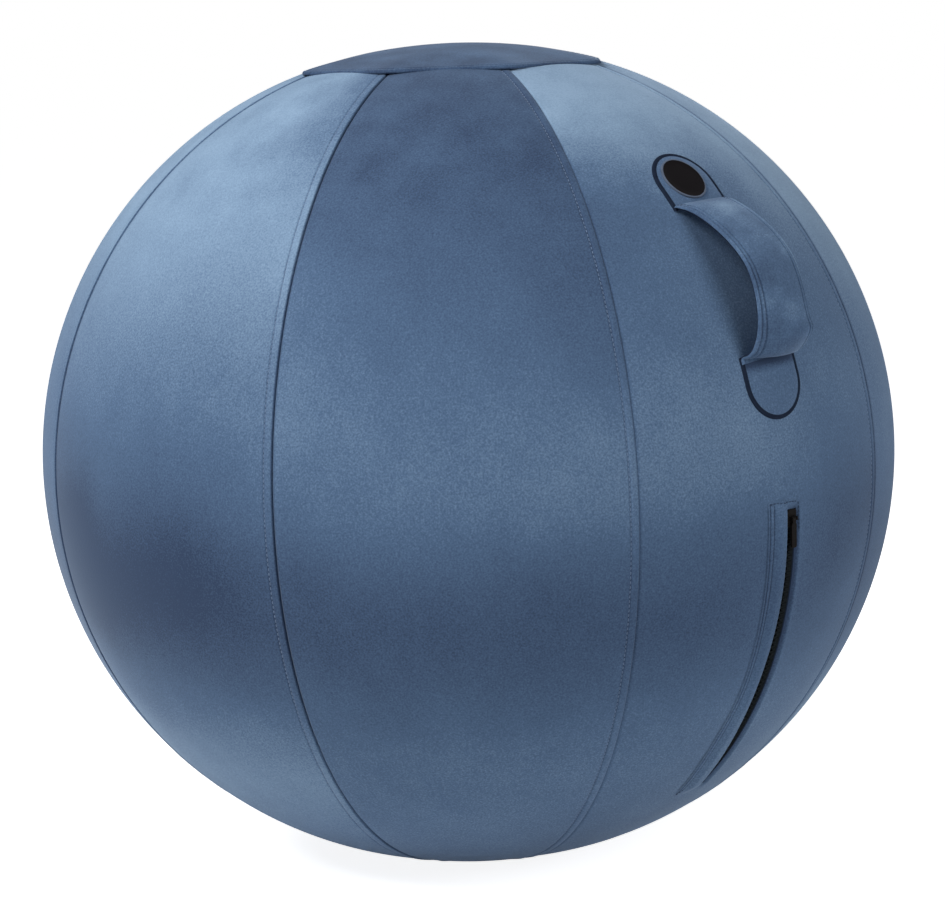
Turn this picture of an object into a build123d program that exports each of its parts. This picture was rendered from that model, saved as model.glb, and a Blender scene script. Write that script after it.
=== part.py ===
from build123d import *
import os
from math import atan, cos, degrees, radians, sin, sqrt, tan

# Sitting ball: an air bladder in a zipped velvet cover with a sewn carry strap.
# Millimetres, +Z up, origin on the floor under the ball's axis, strap and zip facing -Y.

# Cover
gore_names = ["front", "front_right", "right", "back_right", "back", "back_left", "left", "front_left"]
ball_diameter = 650.0
crown_offset = 16.0        # each gore's centre of curvature lies this far out from the ball's axis
settle = 5.0               # how far the ball's own weight flattens its underside
fabric = 2.0
seam_gap = 0.6
fit_gap = 0.3              # between sewn pieces that lie on each other

# Octagonal panels at the two poles
top_panel_across = 246.0   # over opposite corners
top_panel_dish = 535.0     # radius of its flat crown
top_panel_thickness = 2.2
top_panel_lap = 4.0        # how far it covers the gores at the middle of each edge
top_panel_corner = 8.0
base_panel_across = 160.0
base_panel_thickness = 2.0
base_panel_corner = 6.0

# The strap and the zip share one line that leans a little on the front gore
front_lean = 3.2
lean_pivot = 8.0           # latitude where that line crosses the gore's middle

# Zip, along a great circle of the front gore
zip_side = -2.0            # the chain's place across the leaning line
slit_top = -2.6
slit_bottom = -49.0
slit_width = 10.6
slit_cut = 20.0            # how far the cutter reaches to each side of the cover's face
tape_width = 12.0
tape_thickness = 0.8
tape_overrun = 1.0         # degrees of tape past each end of the slit
tape_split = 3.0           # between the two tapes
tooth_pitch = 4.0
tooth_length = 1.6
tooth_waist = 1.1          # length of its narrow neck
tooth_root = 3.2           # from the chain's middle to the outer end of a tooth
tooth_head = 1.0           # from the chain's middle to the tip of its head
tooth_height = 2.2
stop_length = 2.0
stop_height = 1.5

# Slider and pull
slider_length = 12.0
slider_width = 9.0
slider_plate = 1.3
slider_corner = 1.5
slider_flange = 0.8
slider_flange_drop = 1.4
slider_gap = 0.4
diamond_length = 3.0
diamond_width = 2.2
lug_spread = 3.4           # between the two lugs
lug_thickness = 1.0
lug_length = 2.6
lug_rim = 1.0              # round the hinge pin
hinge_pin_radius = 0.6
hinge_gap = 0.1
pull_eye_radius = 1.3
pull_length = 21.0
pull_width = 5.0
pull_thickness = 1.2
pull_neck_length = 3.4
pull_corner = 1.25

# Flap that laps over the left of the zip
flap_width = 16.5
flap_hem_width = 3.5
flap_hem_rise = 1.1
flap_top = -1.8
flap_bottom = -49.8

# Carry strap
strap_width = 54.0
strap_thickness = 5.0
tab_thickness = 3.0
upper_tab_latitude = 43.0  # middle of the upper tab's round end
upper_tab_straight = 21.5
lower_tab_latitude = 13.7
lower_tab_straight = 20.0
strap_stand = 29.5         # from the cover to the middle of the strap, at its highest
strap_top_lean = 30.0      # slope at which the strap leaves the upper tab
strap_fold_radius = 6.0
strap_fold_stand = 18.0
upper_root_length = 31.0
lower_root_length = 16.0
grip_upper_stand = 20.5
grip_lower_stand = 23.0
badge_diameter = 36.0
badge_thickness = 1.2
badge_rim = 1.6
badge_rim_rise = 0.6

# Air bladder and its filling valve
bladder_wall = 0.9
bladder_gap = 0.5
valve_latitude = -25.0
valve_seat_radius = 9.0
valve_flange_radius = 14.0
valve_flange_thickness = 2.0
valve_seat_length = 13.0
valve_bore_radius = 4.0
valve_head_radius = 7.0
valve_head_thickness = 1.6
valve_stem_clearance = 0.1

# Worked-out sizes
ball_radius = ball_diameter / 2
gore_radius = ball_radius - crown_offset
equator = gore_radius - settle
gore_count = len(gore_names)
half_gore = 180.0 / gore_count
far = ball_diameter


def octagon(across: float, corner: float) -> Sketch:
    """A flat panel's outline, with one rounded corner on each seam."""
    outline = RegularPolygon(across / 2, gore_count, rotation=half_gore)
    return fillet(outline.vertices(), corner)


# Where the gores end under the top panel, and where that panel's underside lies
top_apothem = top_panel_across / 2 * cos(radians(half_gore))
gore_top_reach = top_apothem - top_panel_lap
gore_top = equator + sqrt(gore_radius**2 - (gore_top_reach - crown_offset) ** 2)
dish_drop = top_panel_dish - sqrt(top_panel_dish**2 - gore_top_reach**2)
panel_underside = gore_top + fit_gap + dish_drop
gore_bottom = base_panel_thickness + fit_gap


def make_gore() -> Part:
    """One cover panel facing -Y: a spherical shell between two seam planes."""
    shell = Sphere(gore_radius) - Sphere(gore_radius - fabric)
    apex = seam_gap / 2 / sin(radians(half_gore))
    reach = far * tan(radians(half_gore))
    plan = make_face(Polyline((0, -apex), (-reach, -apex - far), (reach, -apex - far), close=True))
    wedge = Pos(0, 0, gore_bottom) * extrude(plan, gore_top - gore_bottom)
    return wedge & (Pos(0, -crown_offset, equator) * shell)


def make_top_panel() -> Part:
    """The raised octagon over the upper ends of the gores."""
    inner = Pos(0, 0, panel_underside - top_panel_dish) * Sphere(top_panel_dish)
    outer = Pos(0, 0, panel_underside - top_panel_dish) * Sphere(top_panel_dish + top_panel_thickness)
    prism = Pos(0, 0, equator) * extrude(octagon(top_panel_across, top_panel_corner), far)
    return (outer - inner) & prism


def make_base_panel() -> Part:
    """The flat octagon that the ball stands on."""
    return extrude(octagon(base_panel_across, base_panel_corner), base_panel_thickness)


# The front gore's own frame: its centre of curvature at the origin, -Y outwards, +Z up.
# A place there is a latitude in degrees, a height above the cover and a distance across.
pivot = radians(lean_pivot)
lean_axis = Axis((0, 0, 0), (0, -cos(pivot), sin(pivot)))


def on_front(piece: Part) -> Part:
    """Turn a piece onto the leaning line and carry it to the front gore."""
    return Pos(0, -crown_offset, equator) * piece.rotate(lean_axis, front_lean)


def turned(latitude: float) -> Location:
    """The turn that lifts a piece from the gore's equator to a latitude."""
    return Rot(-latitude, 0, 0)


def arc_degrees(length: float) -> float:
    """The angle that a length covers along the front gore."""
    return degrees(length / gore_radius)


def band(section: list[tuple[float, float]], top: float, bottom: float) -> Part:
    """Carry an outline of (across, height) points along the zip's great circle."""
    points = []
    for across, height in section:
        side = zip_side + across
        points.append((side, -sqrt((gore_radius + height) ** 2 - side**2)))
    face = make_face(Polyline(*points, close=True))
    return turned(top) * revolve(face, Axis.X, top - bottom)


def bar(across: tuple[float, float], height: tuple[float, float], top: float, bottom: float) -> Part:
    """A band of rectangular section."""
    (left, right), (low, high) = across, height
    return band([(left, low), (right, low), (right, high), (left, high)], top, bottom)


def block(across: tuple[float, float], height: tuple[float, float], along: tuple[float, float]) -> Part:
    """A straight block at the gore's equator, placed like a band."""
    sizes = [limits[1] - limits[0] for limits in (across, height, along)]
    middles = [(limits[1] + limits[0]) / 2 for limits in (across, height, along)]
    return Pos(zip_side + middles[0], -(gore_radius + middles[1]), middles[2]) * Box(*sizes)


# Heights of the zip's layers above the cover's outer face
tape_high = -fabric - fit_gap
tape_low = tape_high - tape_thickness
tooth_low = tape_low
tooth_high = tooth_low + tooth_height
slider_roof = tooth_high + slider_gap
slider_top = slider_roof + slider_plate
slider_floor = tape_low - slider_gap
slider_low = slider_floor - slider_plate
pull_axis_height = slider_top + fit_gap + pull_eye_radius
lug_top = pull_axis_height + hinge_pin_radius + lug_rim
stop_span = arc_degrees(stop_length)
half_slider = arc_degrees(slider_length / 2)
stops_low = slit_top - arc_degrees(fit_gap) - stop_span
slider_rest = stops_low - arc_degrees(fit_gap) - half_slider
chain_top = slider_rest + arc_degrees(slider_length / 2 - diamond_length - slider_gap - tooth_length)
bottom_stop_top = slit_bottom + 2 * stop_span


def make_front_gore() -> Part:
    """The front panel with the slit for the zip."""
    half = slit_width / 2
    slit = bar((-half, half), (-slit_cut, slit_cut), slit_top, slit_bottom)
    return make_gore() - on_front(slit)


def make_tooth(side: int) -> Part:
    """One moulded tooth: a body on the tape, a waist and a rounded head."""
    half, waist = tooth_length / 2, tooth_waist / 2
    outline = [
        (side * tooth_root, -half),
        (side * tooth_head, -half),
        (side * tooth_head / 2, -waist),
        (-side * tooth_head / 2, -half),
        (-side * tooth_head, -waist),
    ]
    outline += [(across, -along) for across, along in reversed(outline)]
    plan = make_face(Polyline(*[(zip_side + across, along) for across, along in outline], close=True))
    stands = Plane((0, -(gore_radius + tooth_low), 0), x_dir=(1, 0, 0), z_dir=(0, -1, 0))
    return extrude(stands * plan, tooth_height)


def make_zip_side(side: int) -> Part:
    """One tape with its row of teeth; the two rows lie half a pitch apart."""
    inner, outer = side * tape_split / 2, side * (tape_split / 2 + tape_width)
    tape = bar((inner, outer), (tape_low, tape_high), slit_top + tape_overrun, slit_bottom - tape_overrun)
    pitch = arc_degrees(tooth_pitch)
    first = chain_top - (pitch / 2 if side > 0 else 0)
    count = int((first - bottom_stop_top - pitch / 2) / pitch) + 1
    tooth = make_tooth(side)
    return tape + [turned(first - row * pitch) * tooth for row in range(count)]


def make_top_stops() -> Part:
    """A small clip on each tape, above the closed slider."""
    inner, outer = tape_split / 2, tooth_root
    limits = (tape_high, tape_high + stop_height)
    clips = [bar((side * inner, side * outer), limits, stops_low + stop_span, stops_low) for side in (-1, 1)]
    return Part() + clips


def make_bottom_stop() -> Part:
    """The bar that ties the two tapes below the last teeth."""
    limits = (tape_high, tape_high + stop_height)
    return bar((-tooth_root, tooth_root), limits, bottom_stop_top - stop_span, bottom_stop_top - 2 * stop_span)


def make_slider() -> Part:
    """Two plates joined by the diamond, with side flanges, pull lugs and a hinge pin."""
    half, long = slider_width / 2, slider_length / 2
    roof = block((-half, half), (slider_roof, slider_top), (-long, long))
    floor = block((-half, half), (slider_low, slider_floor), (-long, long))
    plates = [fillet(plate.edges().filter_by(Axis.Y), slider_corner) for plate in (roof, floor)]
    diamond = block(
        (-diamond_width / 2, diamond_width / 2), (slider_floor, slider_roof), (long - diamond_length, long)
    )
    slider = plates[0] + plates[1] + diamond
    straight = long - slider_corner
    for side in (-1, 1):
        across = sorted((side * (half - slider_flange), side * half))
        drop = (slider_roof - slider_flange_drop, slider_roof)
        slider += block(across, drop, (-straight, straight))
        across = sorted((side * lug_spread / 2, side * (lug_spread / 2 + lug_thickness)))
        lug = block(across, (slider_top, lug_top), (-lug_length / 2, lug_length / 2))
        slider += lug
    pin_length = lug_spread + 2 * lug_thickness
    pin = Pos(zip_side, -(gore_radius + pull_axis_height), 0) * Rot(0, 90, 0) * Cylinder(
        hinge_pin_radius, pin_length
    )
    return slider + pin


def make_pull() -> Part:
    """The pull tab: an eye on the hinge pin, a neck and a rounded tongue."""
    eye_length = lug_spread - 2 * fit_gap
    hinge = Pos(zip_side, -(gore_radius + pull_axis_height), 0) * Rot(0, 90, 0)
    limits = (pull_axis_height - pull_thickness / 2, pull_axis_height + pull_thickness / 2)
    neck = block((-eye_length / 2, eye_length / 2), limits, (-pull_neck_length, 0))
    tongue = block((-pull_width / 2, pull_width / 2), limits, (-pull_length, -pull_neck_length))
    tongue = fillet(tongue.edges().filter_by(Axis.Y), pull_corner)
    pull = hinge * Cylinder(pull_eye_radius, eye_length) + neck + tongue
    return pull - hinge * Cylinder(hinge_pin_radius + hinge_gap, far)


def make_flap() -> Part:
    """The strip sewn on the zip's left side, with a thick folded hem at its free edge."""
    edge = -slit_width / 2
    high = fit_gap + fabric
    section = [
        (edge - flap_width, fit_gap),
        (edge, fit_gap),
        (edge, high + flap_hem_rise),
        (edge - flap_hem_width, high + flap_hem_rise),
        (edge - 2 * flap_hem_width, high),
        (edge - flap_width, high),
    ]
    return band(section, flap_top, flap_bottom)


def shell_over_cover(low: float, high: float) -> Part:
    """The layer between two heights over the front gore."""
    return Sphere(gore_radius + high) - Sphere(gore_radius + low)


def make_tab(latitude: float, straight: float, end: int) -> Part:
    """A sewn strap end: a straight stretch with a round end, up (1) or down (-1)."""
    plane = Plane((0, 0, 0), x_dir=(1, 0, 0), z_dir=(0, -cos(radians(latitude)), sin(radians(latitude))))
    radius = strap_width / 2
    straight_run = Pos(0, -end * straight / 2) * Rectangle(strap_width, straight)
    round_end = Circle(radius) & Pos(0, end * radius / 2) * Rectangle(strap_width, radius)
    outline = straight_run + round_end
    return extrude(plane * outline, far) & shell_over_cover(fit_gap, fit_gap + tab_thickness)


def make_badge() -> Part:
    """The plain round badge on the upper tab, with a slim raised rim."""
    seat = fit_gap + tab_thickness + fit_gap
    latitude = radians(upper_tab_latitude)
    plane = Plane((0, 0, 0), x_dir=(1, 0, 0), z_dir=(0, -cos(latitude), sin(latitude)))
    radius = badge_diameter / 2
    face = extrude(plane * Circle(radius), far) & shell_over_cover(seat, seat + badge_thickness)
    ring = plane * (Circle(radius) - Circle(radius - badge_rim))
    rim = extrude(ring, far) & shell_over_cover(seat, seat + badge_thickness + badge_rim_rise)
    return face + rim


# The strap's side view, in the plane of the leaning line.
# Its two ends stop at the tabs, and the grip is the stretch between the two soft roots.
strap_top = upper_tab_latitude - arc_degrees(upper_tab_straight)
strap_bottom = lower_tab_latitude + arc_degrees(lower_tab_straight)
root_start_stand = 2 * fit_gap + strap_thickness / 2
root_start = strap_top - arc_degrees(fit_gap + strap_thickness / 2 * sin(radians(strap_top_lean)))
fold_latitude = strap_bottom + arc_degrees(fit_gap + strap_thickness / 2)
grip_top = strap_top - arc_degrees(upper_root_length)
grip_bottom = strap_bottom + arc_degrees(lower_root_length)
strap_centre = (strap_top + strap_bottom) / 2
outward = (0, -cos(radians(strap_centre)), sin(radians(strap_centre)))
side_view = Plane((0, 0, 0), x_dir=outward, z_dir=(-1, 0, 0))


def strap_point(latitude: float, stand: float) -> tuple[float, float]:
    """A point of the strap's side view."""
    angle = radians(latitude - strap_centre)
    return (gore_radius + stand) * cos(angle), (gore_radius + stand) * sin(angle)


def strap_piece(path: Curve) -> Part:
    """A stretch of strap: its path, thickened and widened."""
    return extrude(side_view * trace(path, strap_thickness), strap_width / 2, both=True)


grip_path = ThreePointArc(
    strap_point(grip_top, grip_upper_stand),
    strap_point(strap_centre, strap_stand),
    strap_point(grip_bottom, grip_lower_stand),
)


def make_upper_root() -> Part:
    """The strap from the upper tab to the grip."""
    run = Line(strap_point(root_start, root_start_stand), grip_path @ 0)
    return strap_piece(run) - strap_piece(grip_path)


def make_lower_root() -> Part:
    """The strap from the grip round its fold to the lower tab."""
    fold = strap_point(fold_latitude, strap_fold_stand)
    end = strap_point(fold_latitude, 2 * fit_gap)
    run = FilletPolyline(grip_path @ 1, fold, end, radius=strap_fold_radius)
    return strap_piece(run) - strap_piece(grip_path)


# Bladder: a squat ball that stands on the base panel and stays behind the zip's slider
bladder_reach = ball_radius + slider_low - bladder_gap
bladder_rise = panel_underside - bladder_gap - equator
bladder_floor = base_panel_thickness + fit_gap
valve_turn = degrees(atan(sin(radians(lean_pivot - valve_latitude)) * tan(radians(front_lean))))
valve_angle = radians(valve_latitude)
valve_normal = (0, -cos(valve_angle) / bladder_reach, sin(valve_angle) / bladder_rise)
valve_place = (0, -bladder_reach * cos(valve_angle), equator + bladder_rise * sin(valve_angle))
valve_plane = Rot(0, 0, valve_turn) * Plane(valve_place, x_dir=(1, 0, 0), z_dir=valve_normal)
valve_top = -bladder_gap


def squat_ball(reach: float, rise: float, floor: float) -> Part:
    """A ball with its own width and height, cut flat where it stands."""
    ball = Pos(0, 0, equator) * scale(Sphere(1), by=(reach, reach, rise))
    return ball - Pos(0, 0, floor - far / 2) * Box(far, far, far)


def make_bladder() -> Part:
    """The hollow air bladder, open only at the valve."""
    outer = squat_ball(bladder_reach, bladder_rise, bladder_floor)
    inner = squat_ball(bladder_reach - bladder_wall, bladder_rise - bladder_wall, bladder_floor + bladder_wall)
    hole = valve_plane * Cylinder(valve_seat_radius + fit_gap, 2 * valve_seat_length)
    return outer - inner - hole


def valve_round(radius: float, top: float, length: float) -> Part:
    """A round stretch on the valve's axis, from a depth inwards."""
    return valve_plane * Pos(0, 0, top - length / 2) * Cylinder(radius, length)


def make_valve_seat() -> Part:
    """The welded valve boss with its inner flange, plug recess and bore."""
    flange_top = -bladder_wall - 2 * bladder_gap
    boss = valve_round(valve_seat_radius, valve_top, valve_seat_length)
    flange = valve_round(valve_flange_radius, flange_top, valve_flange_thickness)
    recess = valve_round(valve_head_radius + fit_gap, valve_top, valve_head_thickness)
    bore = valve_round(valve_bore_radius, valve_top, valve_seat_length)
    return boss + flange - recess - bore


def make_valve_plug() -> Part:
    """The push-in plug: a flat head and a stem."""
    head = valve_round(valve_head_radius, valve_top, valve_head_thickness)
    stem = valve_round(valve_bore_radius - valve_stem_clearance, valve_top, valve_seat_length)
    return head + stem


pieces = {
    f"gore_{name}": Rot(0, 0, 2 * half_gore * place) * make_gore()
    for place, name in enumerate(gore_names)
}
pieces["gore_front"] = make_front_gore()
pieces |= {
    "top_panel": make_top_panel(),
    "base_panel": make_base_panel(),
    "zip_side_left": on_front(make_zip_side(-1)),
    "zip_side_right": on_front(make_zip_side(1)),
    "zip_top_stops": on_front(make_top_stops()),
    "zip_bottom_stop": on_front(make_bottom_stop()),
    "zip_slider": on_front(turned(slider_rest) * make_slider()),
    "zip_pull": on_front(turned(slider_rest) * make_pull()),
    "zip_flap": on_front(make_flap()),
    "strap_upper_tab": on_front(make_tab(upper_tab_latitude, upper_tab_straight, 1)),
    "strap_upper_root": on_front(make_upper_root()),
    "strap_grip": on_front(strap_piece(grip_path)),
    "strap_lower_root": on_front(make_lower_root()),
    "strap_lower_tab": on_front(make_tab(lower_tab_latitude, lower_tab_straight, -1)),
    "badge": on_front(make_badge()),
    "bladder": make_bladder(),
    "valve_seat": make_valve_seat(),
    "valve_plug": make_valve_plug(),
}

os.makedirs("parts", exist_ok=True)
for name, piece in pieces.items():
    export_step(piece, f"parts/{name}.step")
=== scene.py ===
"""Sitting ball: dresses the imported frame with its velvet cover, zip, carry strap, badge and studio.

Everything is in metres in the row's frame: +Z up, the origin on the floor under the ball's axis,
and the strap and the zip on the gore that faces -Y.
"""

from __future__ import annotations

import logging
from collections.abc import Callable
from dataclasses import dataclass, field
from enum import Enum
from math import asin, cos, log, pi, radians, sin, sqrt

import bpy
import numpy as np
from mathutils import Matrix, Vector

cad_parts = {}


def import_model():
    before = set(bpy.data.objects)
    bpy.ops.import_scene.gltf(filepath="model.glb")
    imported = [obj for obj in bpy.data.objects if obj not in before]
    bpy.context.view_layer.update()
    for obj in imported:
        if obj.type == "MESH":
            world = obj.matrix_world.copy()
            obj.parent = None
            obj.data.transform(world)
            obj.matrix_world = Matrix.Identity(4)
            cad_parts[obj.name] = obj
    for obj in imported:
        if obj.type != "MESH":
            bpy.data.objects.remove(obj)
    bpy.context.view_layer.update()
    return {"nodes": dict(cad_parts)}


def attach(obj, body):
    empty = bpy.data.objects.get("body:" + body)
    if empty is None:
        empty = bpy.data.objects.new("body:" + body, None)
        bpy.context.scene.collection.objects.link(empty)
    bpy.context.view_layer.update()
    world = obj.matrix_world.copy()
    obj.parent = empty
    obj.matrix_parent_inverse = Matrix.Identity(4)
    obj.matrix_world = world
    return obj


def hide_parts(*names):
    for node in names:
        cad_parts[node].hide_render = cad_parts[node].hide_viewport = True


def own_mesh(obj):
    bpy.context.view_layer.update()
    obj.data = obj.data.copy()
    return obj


LOG = logging.getLogger("sitting_ball")
MM = 0.001
# The body that every new piece rides on
BALL_BODY = "ball"
# The middle of a noise's range and of a colour ramp
MIDDLE = 0.5
# Each sine of an uneven wave: its share, its rate and its phase per seed
SINES = ((0.45, 1.0, 1.7), (0.35, 0.618, 4.1), (0.20, 1.732, 2.9))
# How far a thread's middle lies above the bottom of its groove
STITCH_LIFT = 0.1 * MM

Array = np.ndarray
Pair = tuple[float, float]
Triple = tuple[float, float, float]
Socket = bpy.types.NodeSocket


class Slot(Enum):
    """The record's material slots."""

    VELVET = "velvet"
    BADGE = "badge"


class Gore(Enum):
    """The cover's gores, numbered anticlockwise from the front as seen from above."""

    FRONT = 0
    FRONT_RIGHT = 1
    RIGHT = 2
    BACK_RIGHT = 3
    BACK = 4
    BACK_LEFT = 5
    LEFT = 6
    FRONT_LEFT = 7

    @property
    def before(self) -> Gore:
        """The gore on the left of this one."""
        return Gore((self.value - 1) % len(Gore))


Gores = tuple[Gore, ...]


def ease(value: Array | float, start: float, end: float) -> Array:
    """A smooth rise from 0 at start to 1 at end.

    Args:
        value: Where to read the rise.
        start: The place where it leaves 0.
        end: The place where it reaches 1.

    Returns:
        The rise at each value.
    """
    share = np.clip((np.asarray(value, float) - start) / (end - start), 0.0, 1.0)
    return share * share * (3.0 - 2.0 * share)


def hump(value: Array | float, centre: float, half_width: float) -> Array:
    """A raised-cosine bump of height 1.

    Args:
        value: Where to read the bump.
        centre: The place of its top.
        half_width: The distance from its top to where it ends.

    Returns:
        The bump at each value.
    """
    share = np.clip(np.abs(np.asarray(value, float) - centre) / half_width, 0.0, 1.0)
    return 0.5 * (1.0 + np.cos(pi * share))


def uneven(along: Array, wavelength: float, seed: float) -> Array:
    """An uneven wave between about -1 and 1: three sines whose lengths share no common measure.

    Args:
        along: Distances along the wave.
        wavelength: The main sine's length.
        seed: A number that sets the phases.

    Returns:
        The wave at each distance.
    """
    turns = 2.0 * pi * np.asarray(along, float) / wavelength
    return sum(share * np.sin(rate * turns + phase * seed) for share, rate, phase in SINES)


def bezier(corners: list[Pair], count: int) -> Array:
    """Points of a cubic Bezier curve.

    Args:
        corners: Its four control points.
        count: The number of points, with both ends.

    Returns:
        An array of count by 2.
    """
    share = np.linspace(0.0, 1.0, count)[:, None]
    rest = 1.0 - share
    first, second, third, last = (np.asarray(corner, float) for corner in corners)
    start = rest**3 * first + 3 * rest**2 * share * second
    return start + 3 * rest * share**2 * third + share**3 * last


@dataclass
class Surface:
    """A mesh in the making: points, faces, UVs in metres, and how the velvet lies at each point.

    The nap is paler above 0 and darker below; besides the pile's own tone it carries painted light
    and painted shade. The marks say how far hands have ruffled the pile.
    """

    points: Array
    faces: list[list[int]]
    uv: Array | None = None
    nap_and_painted_light: Array | None = None
    marks: Array | None = None
    trim_faces: Array | None = None

    @staticmethod
    def of_grid(
        points: Array, uv: Array | None = None, nap_and_painted_light: Array | None = None, loop: bool = False
    ) -> Surface:
        """A surface on a grid of rows and columns.

        Args:
            points: Rows by columns by 3.
            uv: Rows by columns by 2.
            nap_and_painted_light: Rows by columns.
            loop: Whether the last column joins the first.

        Returns:
            The surface, with its faces turning from columns to rows.
        """
        rows, columns = points.shape[:2]
        index = np.arange(rows * columns).reshape(rows, columns)
        if loop:
            index = np.concatenate([index, index[:, :1]], axis=1)
        quads = np.stack([index[:-1, :-1], index[:-1, 1:], index[1:, 1:], index[1:, :-1]], axis=-1)
        return Surface(
            points.reshape(-1, 3),
            quads.reshape(-1, 4).tolist(),
            None if uv is None else uv.reshape(-1, 2),
            None if nap_and_painted_light is None else nap_and_painted_light.reshape(-1),
        )

    def close_last_row(self, columns: int) -> Surface:
        """Closes the last row of a looped grid with a fan of triangles about its middle.

        Args:
            columns: The number of points in a row.

        Returns:
            The same surface.
        """
        middle = len(self.points)
        ring = np.arange(middle - columns, middle)
        fan = np.stack([ring, np.roll(ring, -1), np.full(columns, middle)], axis=-1)
        self.points = np.concatenate([self.points, self.points[ring].mean(axis=0, keepdims=True)])
        self.faces += fan.tolist()
        if self.uv is not None:
            self.uv = np.concatenate([self.uv, self.uv[ring].mean(axis=0, keepdims=True)])
        if self.nap_and_painted_light is not None:
            self.nap_and_painted_light = np.append(self.nap_and_painted_light, self.nap_and_painted_light[ring].mean())
        return self

    def to_object(self, name: str, materials: list[bpy.types.Material]) -> bpy.types.Object:
        """Puts the surface into the scene as one smooth object.

        Args:
            name: The piece's name.
            materials: Its materials; faces marked as trim take the second.

        Returns:
            The new object, at the origin.
        """
        mesh = bpy.data.meshes.new(name)
        mesh.from_pydata(self.points.tolist(), [], self.faces)
        for material in materials:
            mesh.materials.append(material)
        mesh.polygons.foreach_set("use_smooth", np.ones(len(mesh.polygons), bool))
        if self.trim_faces is not None:
            mesh.polygons.foreach_set("material_index", self.trim_faces.astype(np.int32))
        corner_points = np.empty(len(mesh.loops), np.int32)
        mesh.loops.foreach_get("vertex_index", corner_points)
        if self.uv is not None:
            layer = mesh.uv_layers.new(name="cloth")
            layer.data.foreach_set("uv", self.uv[corner_points].astype(np.float32).ravel())
        # The nap attribute holds painted light and painted shade as well as the pile's tone
        for key, values in (("nap_and_painted_light", self.nap_and_painted_light), ("marks", self.marks)):
            known = np.zeros(len(self.points)) if values is None else values
            attribute = mesh.attributes.new(key, "FLOAT", "POINT")
            attribute.data.foreach_set("value", known.astype(np.float32))
        mesh.update()
        piece = bpy.data.objects.new(name, mesh)
        bpy.context.scene.collection.objects.link(piece)
        return piece


@dataclass(frozen=True)
class CoverForm:
    """The cover's shape: one sphere patch per gore, and the leaning line of the strap and the zip."""

    gore_radius: float = 309.0 * MM
    crown_offset: float = 16.0 * MM
    equator: float = 304.0 * MM
    gore_low: float = 2.3 * MM
    gore_high: float = 598.5 * MM
    gore_count: int = 8
    front_lean: float = radians(3.2)
    lean_pivot: float = radians(8.0)
    azimuth_rounds: int = 6

    @property
    def gore_centre(self) -> Array:
        """The centre of the front gore's sphere."""
        return np.array([0.0, -self.crown_offset, self.equator])

    @property
    def half_gore(self) -> float:
        """Half the angle that a gore takes round the ball's axis."""
        return pi / self.gore_count

    def turn(self, gore: Gore) -> Array:
        """The turn about the ball's axis that carries the front gore to another place."""
        return np.array(Matrix.Rotation(gore.value * 2.0 * self.half_gore, 3, "Z"))

    def lean(self) -> Array:
        """The turn of the leaning line about the front gore's centre of curvature."""
        axis = Vector((0.0, -cos(self.lean_pivot), sin(self.lean_pivot)))
        return np.array(Matrix.Rotation(self.front_lean, 3, axis))

    def reach(self, azimuth: Array, rise: Array) -> Array:
        """The cover's distance from the ball's axis, where the axis meets the gore's sphere.

        Args:
            azimuth: Angles from the gore's middle.
            rise: Heights above the equator.

        Returns:
            The distances.
        """
        aside = self.crown_offset * np.sin(azimuth)
        return self.crown_offset * np.cos(azimuth) + np.sqrt(self.gore_radius**2 - rise**2 - aside**2)

    def gore_point(self, azimuth: Array, rise: Array, height: Array) -> Array:
        """Points over the front gore, by azimuth, by rise and by height along the cover's normal.

        Args:
            azimuth: Angles from the gore's middle.
            rise: Heights above the equator.
            height: Heights above the cover.

        Returns:
            The points, with a last axis of 3.
        """
        reach = self.reach(azimuth, rise)
        level = self.equator + rise + 0.0 * reach
        base = np.stack([reach * np.sin(azimuth), -reach * np.cos(azimuth), level], axis=-1)
        normal = (base - self.gore_centre) / self.gore_radius
        return base + normal * height[..., None]

    def line_point(self, latitude: Array, across: Array, height: Array) -> Array:
        """Points over the front gore, by latitude on the leaning line, distance across and height.

        Args:
            latitude: Angles in degrees above the gore's equator.
            across: Distances to the right of the line.
            height: Heights above the cover.

        Returns:
            The points, with a last axis of 3.
        """
        latitude, across, height = np.broadcast_arrays(np.radians(latitude), across, height)
        reach = np.sqrt((self.gore_radius + height) ** 2 - across**2)
        local = np.stack([across, -reach * np.cos(latitude), reach * np.sin(latitude)], axis=-1)
        return local @ self.lean().T + self.gore_centre

    def line_azimuth(self, across: Array, rise: Array) -> Array:
        """The azimuth at which a path beside the leaning line crosses each level of the front gore.

        Args:
            across: The path's distance to the right of the line, at each level.
            rise: The levels above the equator.

        Returns:
            The azimuths, found by a few turns of a fixed-point rule.
        """
        right, out, up = self.lean()[:, 0]
        side = np.array(across, float)
        for _ in range(self.azimuth_rounds):
            ahead = -np.sqrt(self.gore_radius**2 - rise**2 - side**2)
            side = (across - out * ahead - up * rise) / right
        ahead = np.sqrt(self.gore_radius**2 - rise**2 - side**2)
        return np.arctan2(side, ahead + self.crown_offset)

    def line_rise(self, latitude: float, across: float) -> float:
        """The height above the equator of a place on the leaning line."""
        return float(self.line_point(latitude, across, 0.0)[..., 2]) - self.equator

    def degrees_of(self, length: Array) -> Array:
        """The angles in degrees that lengths take up along the cover."""
        return np.degrees(length / self.gore_radius)


@dataclass(frozen=True)
class Mottle:
    """A noise: waves per metre, octaves, swing to either side of its middle, and stretch by axis."""

    scale: float
    detail: float
    swing: float = 0.0
    stretch: Triple = (1.0, 1.0, 1.0)


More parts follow.
